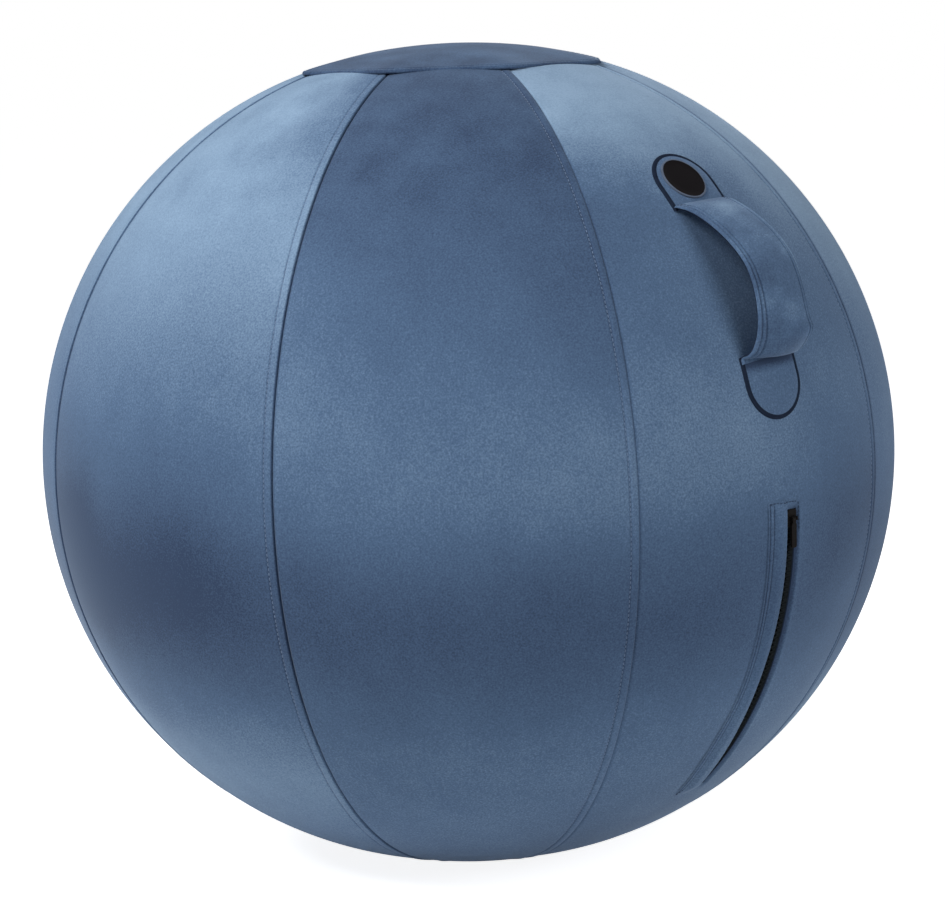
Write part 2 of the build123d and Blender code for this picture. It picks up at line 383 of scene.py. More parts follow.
class NodeWriter:
    """Adds shader nodes to one material and links them by name."""

    def __init__(self, name: str) -> None:
        """Starts an empty material that ends in one Principled shader.

        Args:
            name: The material's name.
        """
        self.material = bpy.data.materials.new(name)
        self.material.use_nodes = True
        self.tree = self.material.node_tree
        self.tree.nodes.clear()
        self.shader = self.add("ShaderNodeBsdfPrincipled")
        output = self.add("ShaderNodeOutputMaterial")
        self.tree.links.new(self.shader.outputs["BSDF"], output.inputs["Surface"])

    def add(self, kind: str, **settings: object) -> bpy.types.Node:
        """Adds a node and sets its plain properties.

        Args:
            kind: The node's type.
            settings: Its properties by name.

        Returns:
            The node.
        """
        node = self.tree.nodes.new(kind)
        for key, value in settings.items():
            setattr(node, key, value)
        return node

    def link(self, source: Socket, target: Socket) -> None:
        """Links one socket to another."""
        self.tree.links.new(source, target)

    def attribute(self, name: str) -> Socket:
        """The value of one of the mesh's attributes."""
        return self.add("ShaderNodeAttribute", attribute_name=name).outputs["Fac"]

    def noise(self, mottle: Mottle) -> Socket:
        """A noise on Object coordinates.

        Args:
            mottle: The noise's sizes.

        Returns:
            The noise's value.
        """
        place = self.add("ShaderNodeTexCoord")
        mapping = self.add("ShaderNodeMapping")
        mapping.inputs["Scale"].default_value = mottle.stretch
        texture = self.add("ShaderNodeTexNoise")
        texture.inputs["Scale"].default_value = mottle.scale
        texture.inputs["Detail"].default_value = mottle.detail
        self.link(place.outputs["Object"], mapping.inputs["Vector"])
        self.link(mapping.outputs["Vector"], texture.inputs["Vector"])
        return texture.outputs["Fac"]

    def math(self, operation: str, first: Socket | float, second: Socket | float) -> Socket:
        """A Math node on sockets or numbers.

        Args:
            operation: The node's operation.
            first: A socket or a number.
            second: A socket or a number.

        Returns:
            The node's value.
        """
        node = self.add("ShaderNodeMath", operation=operation)
        for socket, value in zip(node.inputs, (first, second)):
            if isinstance(value, Socket):
                self.link(value, socket)
            else:
                socket.default_value = value
        return node.outputs["Value"]

    def spread(self, value: Socket, amount: float) -> Socket:
        """Turns noise about its middle into a swing of plus or minus an amount."""
        centred = self.math("SUBTRACT", value, MIDDLE)
        return self.math("MULTIPLY", centred, 2.0 * amount)

    def ramp(self, value: Socket, stops: list[tuple[float, Triple]]) -> Socket:
        """A colour ramp.

        Args:
            value: What it reads.
            stops: Places with their colours.

        Returns:
            The colour.
        """
        node = self.add("ShaderNodeValToRGB")
        while len(node.color_ramp.elements) < len(stops):
            node.color_ramp.elements.new(MIDDLE)
        for element, (place, colour) in zip(node.color_ramp.elements, stops):
            element.position = place
            element.color = (*colour, 1.0)
        self.link(value, node.inputs["Fac"])
        return node.outputs["Color"]

    def shade(self, value: Socket, colour: Triple, factors: Pair, stops: Pair) -> None:
        """Colours the shader between two shades of a colour, as a value runs between two stops.

        Args:
            value: What picks the shade.
            colour: The colour.
            factors: The darker and the lighter shade's shares of it.
            stops: The values that give the two shades.
        """
        shades = [tuple(factor * part for part in colour) for factor in factors]
        self.link(self.ramp(value, list(zip(stops, shades))), self.shader.inputs["Base Color"])

    def bump(self, height: Socket, strength: float, distance: float) -> None:
        """Gives the shader a bump from a height.

        Args:
            height: The height's value.
            strength: How strong the bump is.
            distance: The height that a value of 1 stands for.
        """
        node = self.add("ShaderNodeBump")
        node.inputs["Strength"].default_value = strength
        node.inputs["Distance"].default_value = distance
        self.link(height, node.inputs["Height"])
        self.link(node.outputs["Normal"], self.shader.inputs["Normal"])

    def set(self, **values: object) -> None:
        """Sets the shader's own sockets, with spaces written as underscores."""
        for key, value in values.items():
            self.shader.inputs[key.replace("_", " ")].default_value = value


@dataclass(frozen=True)
class Velvet:
    """Slate-blue velvet: nap with painted light and shade, cloudy and hand-made marks, fine grain and soft
    sheen.
    """

    name: str = "slate_velvet"
    deep: Triple = (0.030, 0.052, 0.105)
    plain: Triple = (0.078, 0.134, 0.234)
    pale: Triple = (0.208, 0.312, 0.448)
    gleaming: Triple = (0.265, 0.382, 0.530)
    plain_tone: float = 0.5
    pale_at: float = 0.8
    cloud: Mottle = Mottle(scale=11.0, detail=3.0, swing=0.10)
    brush: Mottle = Mottle(scale=42.0, detail=4.0, swing=0.07, stretch=(1.0, 1.0, 0.6))
    grain: Mottle = Mottle(scale=780.0, detail=2.0, swing=0.36)
    smudge: Mottle = Mottle(scale=34.0, detail=5.0, swing=0.75)
    roughness: float = 0.88
    specular: float = 0.12
    sheen: float = 0.28
    sheen_roughness: float = 0.42
    sheen_tint: Triple = (0.62, 0.76, 0.95)
    pile_bump: float = 0.25
    pile_height: float = 0.4 * MM

    def make(self) -> bpy.types.Material:
        """Builds the material: the nap with its painted light and shade, three noises and hand marks pick a
        tone.

        Returns:
            The material.
        """
        nodes = NodeWriter(self.name)
        grain = nodes.noise(self.grain)
        smudge = nodes.spread(nodes.noise(self.smudge), self.smudge.swing)
        strokes = [nodes.spread(nodes.noise(look), look.swing) for look in (self.cloud, self.brush)]
        strokes.append(nodes.spread(grain, self.grain.swing))
        strokes.append(nodes.math("MULTIPLY", smudge, nodes.attribute("marks")))
        tone = nodes.math("ADD", nodes.attribute("nap_and_painted_light"), self.plain_tone)
        for stroke in strokes:
            tone = nodes.math("ADD", tone, stroke)
        # The deepest and palest tones are reached mostly through the nap's painted shade and painted light
        tones = [
            (0.0, self.deep),
            (self.plain_tone * self.pale_at, self.plain),
            (self.pale_at, self.pale),
            (1.0, self.gleaming),
        ]
        colour = nodes.ramp(nodes.math("MULTIPLY", tone, self.pale_at), tones)
        nodes.link(colour, nodes.shader.inputs["Base Color"])
        nodes.set(
            Roughness=self.roughness,
            Specular_IOR_Level=self.specular,
            Sheen_Weight=self.sheen,
            Sheen_Roughness=self.sheen_roughness,
            Sheen_Tint=(*self.sheen_tint, 1.0),
        )
        nodes.bump(grain, self.pile_bump, self.pile_height)
        return nodes.material


@dataclass(frozen=True)
class Thread:
    """Sewing thread with a fine twist."""

    name: str = "sewing_thread"
    colour: Triple = (0.15, 0.21, 0.31)
    twist: Mottle = Mottle(scale=2600.0, detail=1.0, stretch=(1.0, 1.0, 2.0))
    shades: Pair = (0.6, 1.5)
    stops: Pair = (0.3, 0.7)
    roughness: float = 0.7
    specular: float = 0.1

    def make(self) -> bpy.types.Material:
        """Builds the material: the twist shades the thread.

        Returns:
            The material.
        """
        nodes = NodeWriter(self.name)
        nodes.shade(nodes.noise(self.twist), self.colour, self.shades, self.stops)
        nodes.set(Roughness=self.roughness, Specular_IOR_Level=self.specular)
        return nodes.material


@dataclass(frozen=True)
class Plain:
    """A plain dull or glossy finish with a slight mottle and grain."""

    name: str
    colour: Triple
    roughness: float
    mottle: float = 0.12
    mottle_scale: float = 260.0
    mottle_detail: float = 3.0
    stops: Pair = (0.25, 0.75)
    bump: float = 0.1
    grain_height: float = 0.2 * MM
    specular: float = 0.3

    def make(self) -> bpy.types.Material:
        """Builds the material: noise shades the colour, and gives the surface its grain.

        Returns:
            The material.
        """
        nodes = NodeWriter(self.name)
        speckle = nodes.noise(Mottle(self.mottle_scale, self.mottle_detail))
        nodes.shade(speckle, self.colour, (1.0 - self.mottle, 1.0 + self.mottle), self.stops)
        nodes.set(Roughness=self.roughness, Specular_IOR_Level=self.specular)
        nodes.bump(speckle, self.bump, self.grain_height)
        return nodes.material


@dataclass
class Palette:
    """The part's finishes, each made once."""

    velvet: bpy.types.Material = field(init=False)
    edge: bpy.types.Material = field(init=False)
    thread: bpy.types.Material = field(init=False)
    dark_thread: bpy.types.Material = field(init=False)
    chain: bpy.types.Material = field(init=False)
    metal: bpy.types.Material = field(init=False)
    badge: bpy.types.Material = field(init=False)
    rim: bpy.types.Material = field(init=False)
    vinyl: bpy.types.Material = field(init=False)
    plug: bpy.types.Material = field(init=False)

    def __post_init__(self) -> None:
        """Makes every finish."""
        self.velvet = Velvet().make()
        binding_and_shade_slate, soot = (0.014, 0.021, 0.040), (0.013, 0.016, 0.018)
        lacquer, enamel = (0.010, 0.009, 0.009), (0.010, 0.009, 0.010)
        slate, grey, white = (0.075, 0.100, 0.150), (0.16, 0.17, 0.19), (0.70, 0.70, 0.68)
        # The dark edge finish is partly a real binding and partly painted shade: round the tabs and along
        # the bow it also paints their shadow, and inside the zip's slit it is only painted shade
        self.edge = Plain("dark_binding_and_painted_shade", binding_and_shade_slate, roughness=0.9, specular=0.03).make()
        self.thread = Thread().make()
        self.dark_thread = Thread("dark_thread", colour=(0.030, 0.048, 0.088)).make()
        self.chain = Plain("zip_chain", soot, roughness=0.7, specular=0.0).make()
        self.metal = Plain("black_lacquered_metal", lacquer, roughness=0.4, bump=0.04, specular=0.015).make()
        self.badge = Plain("smooth_black", enamel, roughness=0.42, mottle_scale=900.0, specular=0.005).make()
        self.rim = Plain("slate_rim", slate, roughness=0.5, specular=0.2).make()
        self.vinyl = Plain("grey_vinyl", grey, roughness=0.55).make()
        self.plug = Plain("white_plug", white, roughness=0.5).make()


@dataclass
class Stitching:
    """Rows of short threads lying in grooves, gathered into one piece."""

    pitch: float = 3.4 * MM
    length: float = 2.5 * MM
    radius: float = 0.34 * MM
    sides: int = 5
    sink: float = 0.7
    rods: list[Array] = field(default_factory=list)

    RING_PLACES = np.array([-0.5, -0.3, 0.3, 0.5])
    RING_WIDTHS = np.array([0.35, 1.0, 1.0, 0.35])
    RING_DROPS = np.array([-1.0, 0.0, 0.0, -1.0])

    def run(self, path: Array, normals: Array) -> None:
        """Lays stitches along a path: each is a short rod, thinner and sunk at its ends.

        Args:
            path: Points along the groove.
            normals: The cover's outward normal at each point.
        """
        steps = np.linalg.norm(np.diff(path, axis=0), axis=1)
        along = np.concatenate([[0.0], np.cumsum(steps)])
        middles = np.arange(self.pitch / 2, along[-1] - self.pitch / 4, self.pitch)

        def read(values: Array, places: Array) -> Array:
            """Values between the path's points."""
            return np.stack([np.interp(places, along, values[:, axis]) for axis in range(3)], axis=-1)

        forward = read(path, middles + self.pitch / 4) - read(path, middles - self.pitch / 4)
        forward /= np.linalg.norm(forward, axis=1, keepdims=True)
        up = read(normals, middles)
        up /= np.linalg.norm(up, axis=1, keepdims=True)
        side = np.cross(forward, up)
        angle = 2.0 * pi * np.arange(self.sides) / self.sides
        width = (self.RING_WIDTHS * self.radius)[:, None]
        ahead = (self.RING_PLACES * self.length)[:, None] + 0.0 * angle
        aside = width * np.cos(angle)
        above = width * np.sin(angle) + (self.RING_DROPS * self.sink * self.radius)[:, None]
        rods = read(path, middles)[:, None, None, :] + sum(
            part[None, :, :, None] * axis[:, None, None, :]
            for part, axis in ((ahead, forward), (aside, side), (above, up))
        )
        self.rods.append(rods.reshape(len(middles), -1, 3))

    def to_object(self, name: str, material: bpy.types.Material) -> bpy.types.Object:
        """Puts every run into one object, each rod closed at both ends.

        Args:
            name: The piece's name.
            material: The thread.

        Returns:
            The new object.
        """
        rods = np.concatenate(self.rods)
        ring = np.arange(rods.shape[1]).reshape(-1, self.sides)
        turned = np.roll(ring, -1, axis=1)
        wall = np.stack([ring[:-1], ring[1:], turned[1:], turned[:-1]], axis=-1).reshape(-1, 4)
        starts = rods.shape[1] * np.arange(len(rods))[:, None]
        faces = [face for quad in wall for face in (starts + quad).tolist()]
        for end in (ring[0], ring[-1][::-1]):
            faces += (starts + end).tolist()
        return Surface(rods.reshape(-1, 3), faces).to_object(name, [material])


def dress(piece: bpy.types.Object, nodes: tuple[str, ...] = ()) -> bpy.types.Object:
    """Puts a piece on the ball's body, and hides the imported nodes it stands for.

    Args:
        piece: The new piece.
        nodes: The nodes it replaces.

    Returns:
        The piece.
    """
    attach(piece, BALL_BODY)
    if nodes:
        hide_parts(*nodes)
    LOG.info("%s: %d faces", piece.name, len(piece.data.polygons))
    return piece


ALL_GORES = tuple(Gore)
DARK_TOP_GORES = (Gore.FRONT_LEFT, Gore.BACK_RIGHT)
SHADED_TOP_GORES = (Gore.FRONT_RIGHT, Gore.RIGHT, Gore.BACK, Gore.LEFT)
PALE_TOP_GORES = (*SHADED_TOP_GORES, Gore.BACK_LEFT)


@dataclass(frozen=True)
class Sweep:
    """A broad stroke of painted light and shade: paler above 0, darker below, shaped by the latitude in
    degrees.

    A stroke with sides fades in across the gore, between two places from -1 at its left seam to 1
    at its right.
    """

    amount: float
    shape: Callable[[Array, float, float], Array]
    first: float
    second: float
    gores: Gores = ALL_GORES
    sides: Pair | None = None

    def read(self, latitude: Array, side: Array) -> Array:
        """The stroke's tone, which may fade from one side of the gore to the other.

        Args:
            latitude: Latitudes in degrees.
            side: Places from -1 at the left seam to 1 at the right.

        Returns:
            The tones.
        """
        fade = 1.0 if self.sides is None else ease(side, *self.sides)
        return self.amount * self.shape(latitude, self.first, self.second) * fade


def band(
    amount: float, middle: float, reach: float, gores: Gores = ALL_GORES, sides: Pair | None = None
) -> Sweep:
    """A stroke that is strongest at a middle latitude and ends at a reach to either side of it."""
    return Sweep(amount, hump, middle, reach, gores, sides)


def climb(
    amount: float, start: float, end: float, gores: Gores = ALL_GORES, sides: Pair | None = None
) -> Sweep:
    """A stroke that grows from nothing at one latitude to its full strength at another."""
    return Sweep(amount, ease, start, end, gores, sides)


# All round: a band of painted shade under the widest part, painted light over it, and a foot of painted
# light
COMMON_SWEEPS = (
    band(-0.27, middle=-15.0, reach=20.0),
    band(0.05, middle=8.0, reach=15.0),
    climb(0.04, start=-28.0, end=-42.0),
)
# Gores darkened towards the top with painted shade
DARK_TOP_SWEEPS = (
    climb(-0.34, start=8.0, end=55.0, gores=DARK_TOP_GORES),
    band(0.12, middle=28.0, reach=26.0, gores=DARK_TOP_GORES, sides=(-0.1, -1.0)),
    band(0.08, middle=3.0, reach=16.0, gores=DARK_TOP_GORES, sides=(-0.2, 0.8)),
)
# Gores lightened towards the top with painted light, most of them with painted shade on the right side
PALE_TOP_SWEEPS = (
    climb(0.50, start=8.0, end=45.0, gores=PALE_TOP_GORES),
    climb(-0.42, start=34.0, end=60.0, gores=SHADED_TOP_GORES, sides=(0.0, 1.0)),
    band(0.24, middle=-42.0, reach=20.0, gores=PALE_TOP_GORES),
)
# Painted light and shade on single gores on the left
LEFT_SWEEPS = (
    band(-0.20, middle=-4.0, reach=24.0, gores=(Gore.LEFT,), sides=(-0.25, -0.6)),
    band(-0.36, middle=-6.0, reach=22.0, gores=(Gore.LEFT, Gore.BACK_LEFT), sides=(1.3, 0.2)),
    band(-0.08, middle=-6.0, reach=18.0, gores=(Gore.FRONT_LEFT,), sides=(-0.3, -1.0)),
    band(-0.09, middle=25.0, reach=20.0, gores=(Gore.FRONT_LEFT,), sides=(0.2, 0.9)),
)
# Painted light and shade on the front gore, round the strap and the zip
FRONT_SWEEPS = (
    climb(0.64, start=37.0, end=62.0, gores=(Gore.FRONT,)),
    band(0.25, middle=42.0, reach=16.0, gores=(Gore.FRONT,), sides=(0.3, 0.9)),
    band(-0.16, middle=40.0, reach=22.0, gores=(Gore.FRONT,), sides=(-0.3, -1.0)),
    band(0.08, middle=8.0, reach=16.0, gores=(Gore.FRONT,), sides=(0.4, -0.3)),
    band(-0.24, middle=-3.0, reach=17.0, gores=(Gore.FRONT,), sides=(0.0, 0.5)),
    band(0.10, middle=-15.0, reach=13.0, gores=(Gore.FRONT,), sides=(0.3, 0.9)),
)
SWEEPS = (*COMMON_SWEEPS, *DARK_TOP_SWEEPS, *PALE_TOP_SWEEPS, *LEFT_SWEEPS, *FRONT_SWEEPS)


@dataclass
class Cover:
    """The eight velvet gores, drawn together at felled seams with one row of stitches each.

    Lengths are in metres, and the slit's ends, the lip's fade and the marks' start in degrees.
    """

    form: CoverForm
    palette: Palette
    sweeps: tuple[Sweep, ...] = SWEEPS
    marked: float = 0.36
    marked_from: Pair = (26.0, 58.0)
    rows: int = 180
    edge_columns: int = 20
    middle_columns: int = 24
    edge_zone: float = 9.0 * MM
    edge_crowding: float = 1.5
    tuck: float = 2.4 * MM
    seam_gap: float = 0.1 * MM
    welt_width: float = 6.4 * MM
    welt_rise: float = 0.5 * MM
    welt_fullness: float = 0.8
    welt_roll: float = 0.9 * MM
    groove_depth: float = 0.5 * MM
    groove_half_width: float = 1.0 * MM
    # groove_shade, crease_shade, welt_shade and under_shade set the painted shade along the seams
    groove_shade: float = 0.30
    crease_depth: float = 1.6 * MM
    crease_shade: float = 0.36
    shallow_gore: Gore = Gore.FRONT_LEFT
    shallow_share: float = 0.35
    low_share: float = 0.85
    low_from: float = 0.5
    deep_gores: Gores = (Gore.FRONT, Gore.BACK_LEFT)
    deep_share: float = 1.5
    welt_shade: float = 1.3 * MM
    under_shade: float = 2.8 * MM
    under_roll: float = 2.4 * MM
    under_softness: float = 1.5
    pucker: float = 0.12 * MM
    pucker_length: float = 21.0 * MM
    slit_top: float = -3.1
    slit_bottom: float = -49.0
    slit_left: float = -11.0 * MM
    slit_right: float = 3.4 * MM
    lip_ridge: float = 8.6 * MM
    lip_drop: float = 2.05 * MM
    lip_fade: float = 1.0
    lip_shade: float = 0.45
    lip_gleam: float = 0.08
    lip_gleam_reach: float = 0.3
    lip_tolerance: float = 0.01
    lip_shade_columns: int = 4
    cut_size: Pair = (0.262, 0.830)
    cut_area: float = 0.160

    def levels(self, gore: Gore) -> tuple[Array, Array, Array]:
        """A gore's rows, evenly spaced along the cover; the front gore has two more at the slit's ends.

        Args:
            gore: The gore.

        Returns:
            The rows' heights above the equator, their distances along the cover, and the gore's width there.
        """
        form = self.form
        low = asin((form.gore_low - form.equator) / form.gore_radius)
        high = asin((form.gore_high - form.equator) / form.gore_radius)
        rise = form.gore_radius * np.sin(np.linspace(low, high, self.rows))
        if gore is Gore.FRONT:
            rise = np.sort(np.append(rise, self.slit_ends()))
        along = form.gore_radius * np.arcsin(rise / form.gore_radius)
        return rise, along, 2.0 * form.half_gore * form.reach(np.zeros_like(rise), rise)

    def slit_ends(self) -> list[float]:
        """The heights above the equator of the slit's top and bottom."""
        return [self.form.line_rise(end, self.slit_right) for end in (self.slit_top, self.slit_bottom)]

    def seam_height(self, gore: Gore, left: Array, right: Array, along: Array) -> Array:
        """The cover's height beside its seams.

        At the right edge a puffed welt ends in a stitched groove; at both edges the cloth rolls down
        into the crease. The stitches pucker the cloth a little.

        Args:
            gore: The gore.
            left: Distances from the left seam.
            right: Distances from the right seam.
            along: Distances along the seam.

        Returns:
            The heights.
        """
        share = np.clip(right / self.welt_width, 0.0, 1.0)
        welt = self.welt_rise * np.sin(pi * share) ** self.welt_fullness
        groove = -self.groove_depth * hump(right, self.welt_width, self.groove_half_width)
        roll = -self.crease(gore, along) * (1.0 - ease(right, 0.0, self.welt_roll))
        rolled_under = (1.0 - ease(left, 0.0, self.under_roll)) ** self.under_softness
        under = -self.crease(gore.before, along) * rolled_under
        puckers = self.pucker * uneven(along, self.pucker_length, gore.value)
        return welt + groove + roll + under + puckers * hump(right, self.welt_width, self.edge_zone)

    def crease(self, gore: Gore, along: Array) -> Array:
        """The depth of the crease at a gore's right seam, a little shallower low down."""
        falling = ease(along, self.low_from * self.form.gore_radius, 0.0)
        return self.crease_depth * self.crease_share(gore) * (1.0 + (self.low_share - 1.0) * falling)

    def crease_share(self, gore: Gore) -> float:
        """How deep the crease at a gore's right seam is.

        Args:
            gore: The gore.

        Returns:
            The depth as a share of the usual one.
        """
        if gore in self.deep_gores:
            return self.deep_share
        return self.shallow_share if gore is self.shallow_gore else 1.0

    def nap_and_painted_light(self, gore: Gore, azimuth: Array, rise: Array) -> Array:
        """Painted light and shade in broad sweeps over each gore.

        Args:
            gore: The gore.
            azimuth: Angles from its middle.
            rise: Heights above the equator.

        Returns:
            Values about 0, paler above and darker below.
        """
        side = azimuth / self.form.half_gore
        latitude = np.degrees(np.arcsin(rise / self.form.gore_radius))
        return 0.0 * side + sum(sweep.read(latitude, side) for sweep in self.sweeps if gore in sweep.gores)

    def slit_lines(self, rise: Array, width: Array) -> tuple[Array, ...]:
        """Where the slit's two lips and the ridge beside it cross the front gore's rows.

        Args:
            rise: The rows' heights above the equator.
            width: The gore's width at each row.

        Returns:
            The left lip's, the right lip's and the ridge's distances from the left seam.
        """
        lines = (self.slit_left, self.slit_right, self.lip_ridge)
        azimuths = [self.form.line_azimuth(line + 0.0 * rise, rise) for line in lines]
        return tuple(width * (0.5 + azimuth / (2.0 * self.form.half_gore)) for azimuth in azimuths)

    def columns(self, gore: Gore, rise: Array, width: Array) -> Array:
        """Columns from seam to seam, close together at both; on the front gore they part at the slit.

        Args:
            gore: The gore.
            rise: The rows' heights above the equator, as a column.
            width: The gore's width at each row, as a column.

        Returns:
            Distances from the left seam, as rows by columns.
        """
        crowded = np.linspace(0.0, 1.0, self.edge_columns)[None, :] ** self.edge_crowding
        edge = self.seam_gap + (self.edge_zone - self.seam_gap) * crowded + 0.0 * width
        far_edge = width - edge[:, ::-1]
        share = np.linspace(0.0, 1.0, self.middle_columns + 2)[None, 1:-1]
        if gore is not Gore.FRONT:
            middle = self.edge_zone + (width - 2.0 * self.edge_zone) * share
            return np.concatenate([edge, middle, far_edge], axis=1)
        left_lip, right_lip, ridge = self.slit_lines(rise, width)
        lip = right_lip + (ridge - right_lip) * np.linspace(0.0, 1.0, self.edge_columns)[None, :]
        before = self.edge_zone + (left_lip - self.edge_zone) * share
        after = ridge + (width - self.edge_zone - ridge) * share
        return np.concatenate([edge, before, left_lip, lip, after, far_edge], axis=1)

    def turned_lip(self, arc: Array, along: Array, rise: Array, width: Array) -> tuple[Array, Array]:
        """The slit's right lip, which is turned down into the slit and gleams at its ridge.

        Args:
            arc: Distances from the left seam, as rows by columns.
            along: The rows' distances along the cover, as a column.
            rise: Their heights above the equator, as a column.
            width: The gore's width at each row, as a column.

        Returns:
            How far each place is turned down, and how far it gleams, both from 0 to 1.
        """
        _, right_lip, ridge = self.slit_lines(rise, width)
        beyond = (arc - right_lip) / (ridge - right_lip)
        inside = self.beside_slit(along)
        turned = np.where(beyond > -self.lip_tolerance, 1.0 - ease(beyond, 0.0, 1.0), 0.0) * inside
        return turned, hump(beyond, 1.0, self.lip_gleam_reach) * inside

    def open_slit(self, surface: Surface, rise: Array) -> None:
        """Takes the slit's faces out of the front gore, and marks the lip beside them as trim: painted shade
        in the slit.

        Args:
            surface: The front gore's surface.
            rise: Its rows' heights above the equator.
        """
        top, bottom = self.slit_ends()
        middle = (rise[1:] + rise[:-1]) / 2
        open_rows = (middle < top) & (middle > bottom)
        faces = np.array(surface.faces).reshape(len(middle), -1, 4)
        slit = 1 + self.edge_columns + self.middle_columns
        kept = np.ones(faces.shape[:2], bool)
        kept[open_rows, slit] = False
        # The lip's first columns take the dark edge finish as painted shade inside the slit
        bound = np.zeros(faces.shape[:2], bool)
        bound[open_rows, slit + 1 : slit + 1 + self.lip_shade_columns] = True
        surface.faces = faces[kept].tolist()
        surface.trim_faces = bound[kept]

    def surface(self, gore: Gore) -> Surface:
        """One gore, with its edges tucked into the seams.

        Args:
            gore: The gore.

        Returns:
            Its surface, in place.
        """
        form = self.form
        rise, along, width = (level[:, None] for level in self.levels(gore))
        arc = self.columns(gore, rise, width)
        azimuth = 2.0 * form.half_gore * (arc / width - 0.5)
        height = self.seam_height(gore, arc, width - arc, along + 0.0 * arc)
        # The sweeps' painted light and shade, less the painted shade in the creases and grooves
        nap_and_painted_light = self.nap_and_painted_light(gore, azimuth, rise) - self.seam_shade(gore, arc, width - arc, along)
        if gore is Gore.FRONT:
            turned, gleam = self.turned_lip(arc, along, rise, width)
            height = height - self.lip_drop * turned
            # Painted shade where the lip turns down into the slit, and a painted highlight along its ridge
            nap_and_painted_light = nap_and_painted_light - self.lip_shade * turned + self.lip_gleam * gleam
        height = np.concatenate([height[:, :1] - self.tuck, height, height[:, -1:] - self.tuck], axis=1)
        nap_and_painted_light, azimuth = (np.pad(values, ((0, 0), (1, 1)), mode="edge") for values in (nap_and_painted_light, azimuth))
        points = form.gore_point(azimuth, rise + 0.0 * azimuth, height) @ form.turn(gore).T
        uv = np.stack([azimuth * width / (2.0 * form.half_gore), along + 0.0 * azimuth], axis=-1)
        surface = Surface.of_grid(points, uv, nap_and_painted_light)
        marked = self.marked * ease(form.degrees_of(along), *self.marked_from)
        surface.marks = (marked + 0.0 * nap_and_painted_light).ravel()
        if gore is Gore.FRONT:
            self.open_slit(surface, rise[:, 0])
        return surface

    def seam_shade(self, gore: Gore, left: Array, right: Array, along: Array) -> Array:
        """Painted shade in the creases, in step with their depth, and in the stitched grooves.

        Args:
            gore: The gore.
            left: Distances from the left seam.
            right: Distances from the right seam.
            along: Distances along the seam.

        Returns:
            Tones to take off the nap.
        """
        right_reach = self.shade_reach(self.welt_shade, gore)
        left_reach = self.shade_reach(self.under_shade, gore.before)
        right_shade = self.crease(gore, along) * (1.0 - ease(right, 0.0, right_reach))
        left_shade = self.crease(gore.before, along) * (1.0 - ease(left, 0.0, left_reach))
        groove = self.groove_shade * hump(right, self.welt_width, self.groove_half_width)
        return self.crease_shade * (right_shade + left_shade) / self.crease_depth + groove

    def shade_reach(self, reach: float, gore: Gore) -> float:
        """How far the painted shade spreads from a gore's right seam: further where its crease is deep."""
        return reach * max(1.0, self.crease_share(gore)) ** 2

    def beside_slit(self, along: Array) -> Array:
        """How far the slit's right lip is turned down along the cover.

        Args:
            along: Distances along the cover.

        Returns:
            1 beside the slit, and 0 past its two ends.
        """
        latitude, fade = self.form.degrees_of(along), self.lip_fade
        above_bottom = ease(latitude, self.slit_bottom - fade, self.slit_bottom + fade)
        return above_bottom * (1.0 - ease(latitude, self.slit_top - fade, self.slit_top + fade))

    def stitch_path(self, gore: Gore) -> tuple[Array, Array]:
        """The groove beside the gore's right seam.

        Args:
            gore: The gore.

        Returns:
            Its points and the normals there.
        """
        form = self.form
        rise, along, width = self.levels(gore)
        arc = width - self.welt_width
        height = self.seam_height(gore, arc, width - arc, along) + STITCH_LIFT
        azimuth = 2.0 * form.half_gore * (arc / width - 0.5)
        path = form.gore_point(azimuth, rise, height) @ form.turn(gore).T
        return path, path - form.turn(gore) @ form.gore_centre

    def build(self) -> None:
        """Makes the gores and their stitches."""
        stitching = Stitching()
        for gore in Gore:
            node = f"gore_{gore.name.lower()}"
            piece = self.surface(gore).to_object(f"{node}_velvet", [self.palette.velvet, self.palette.edge])
            dress(piece, (node,))
            stitching.run(*self.stitch_path(gore))
        dress(stitching.to_object("seam_stitches", self.palette.thread))


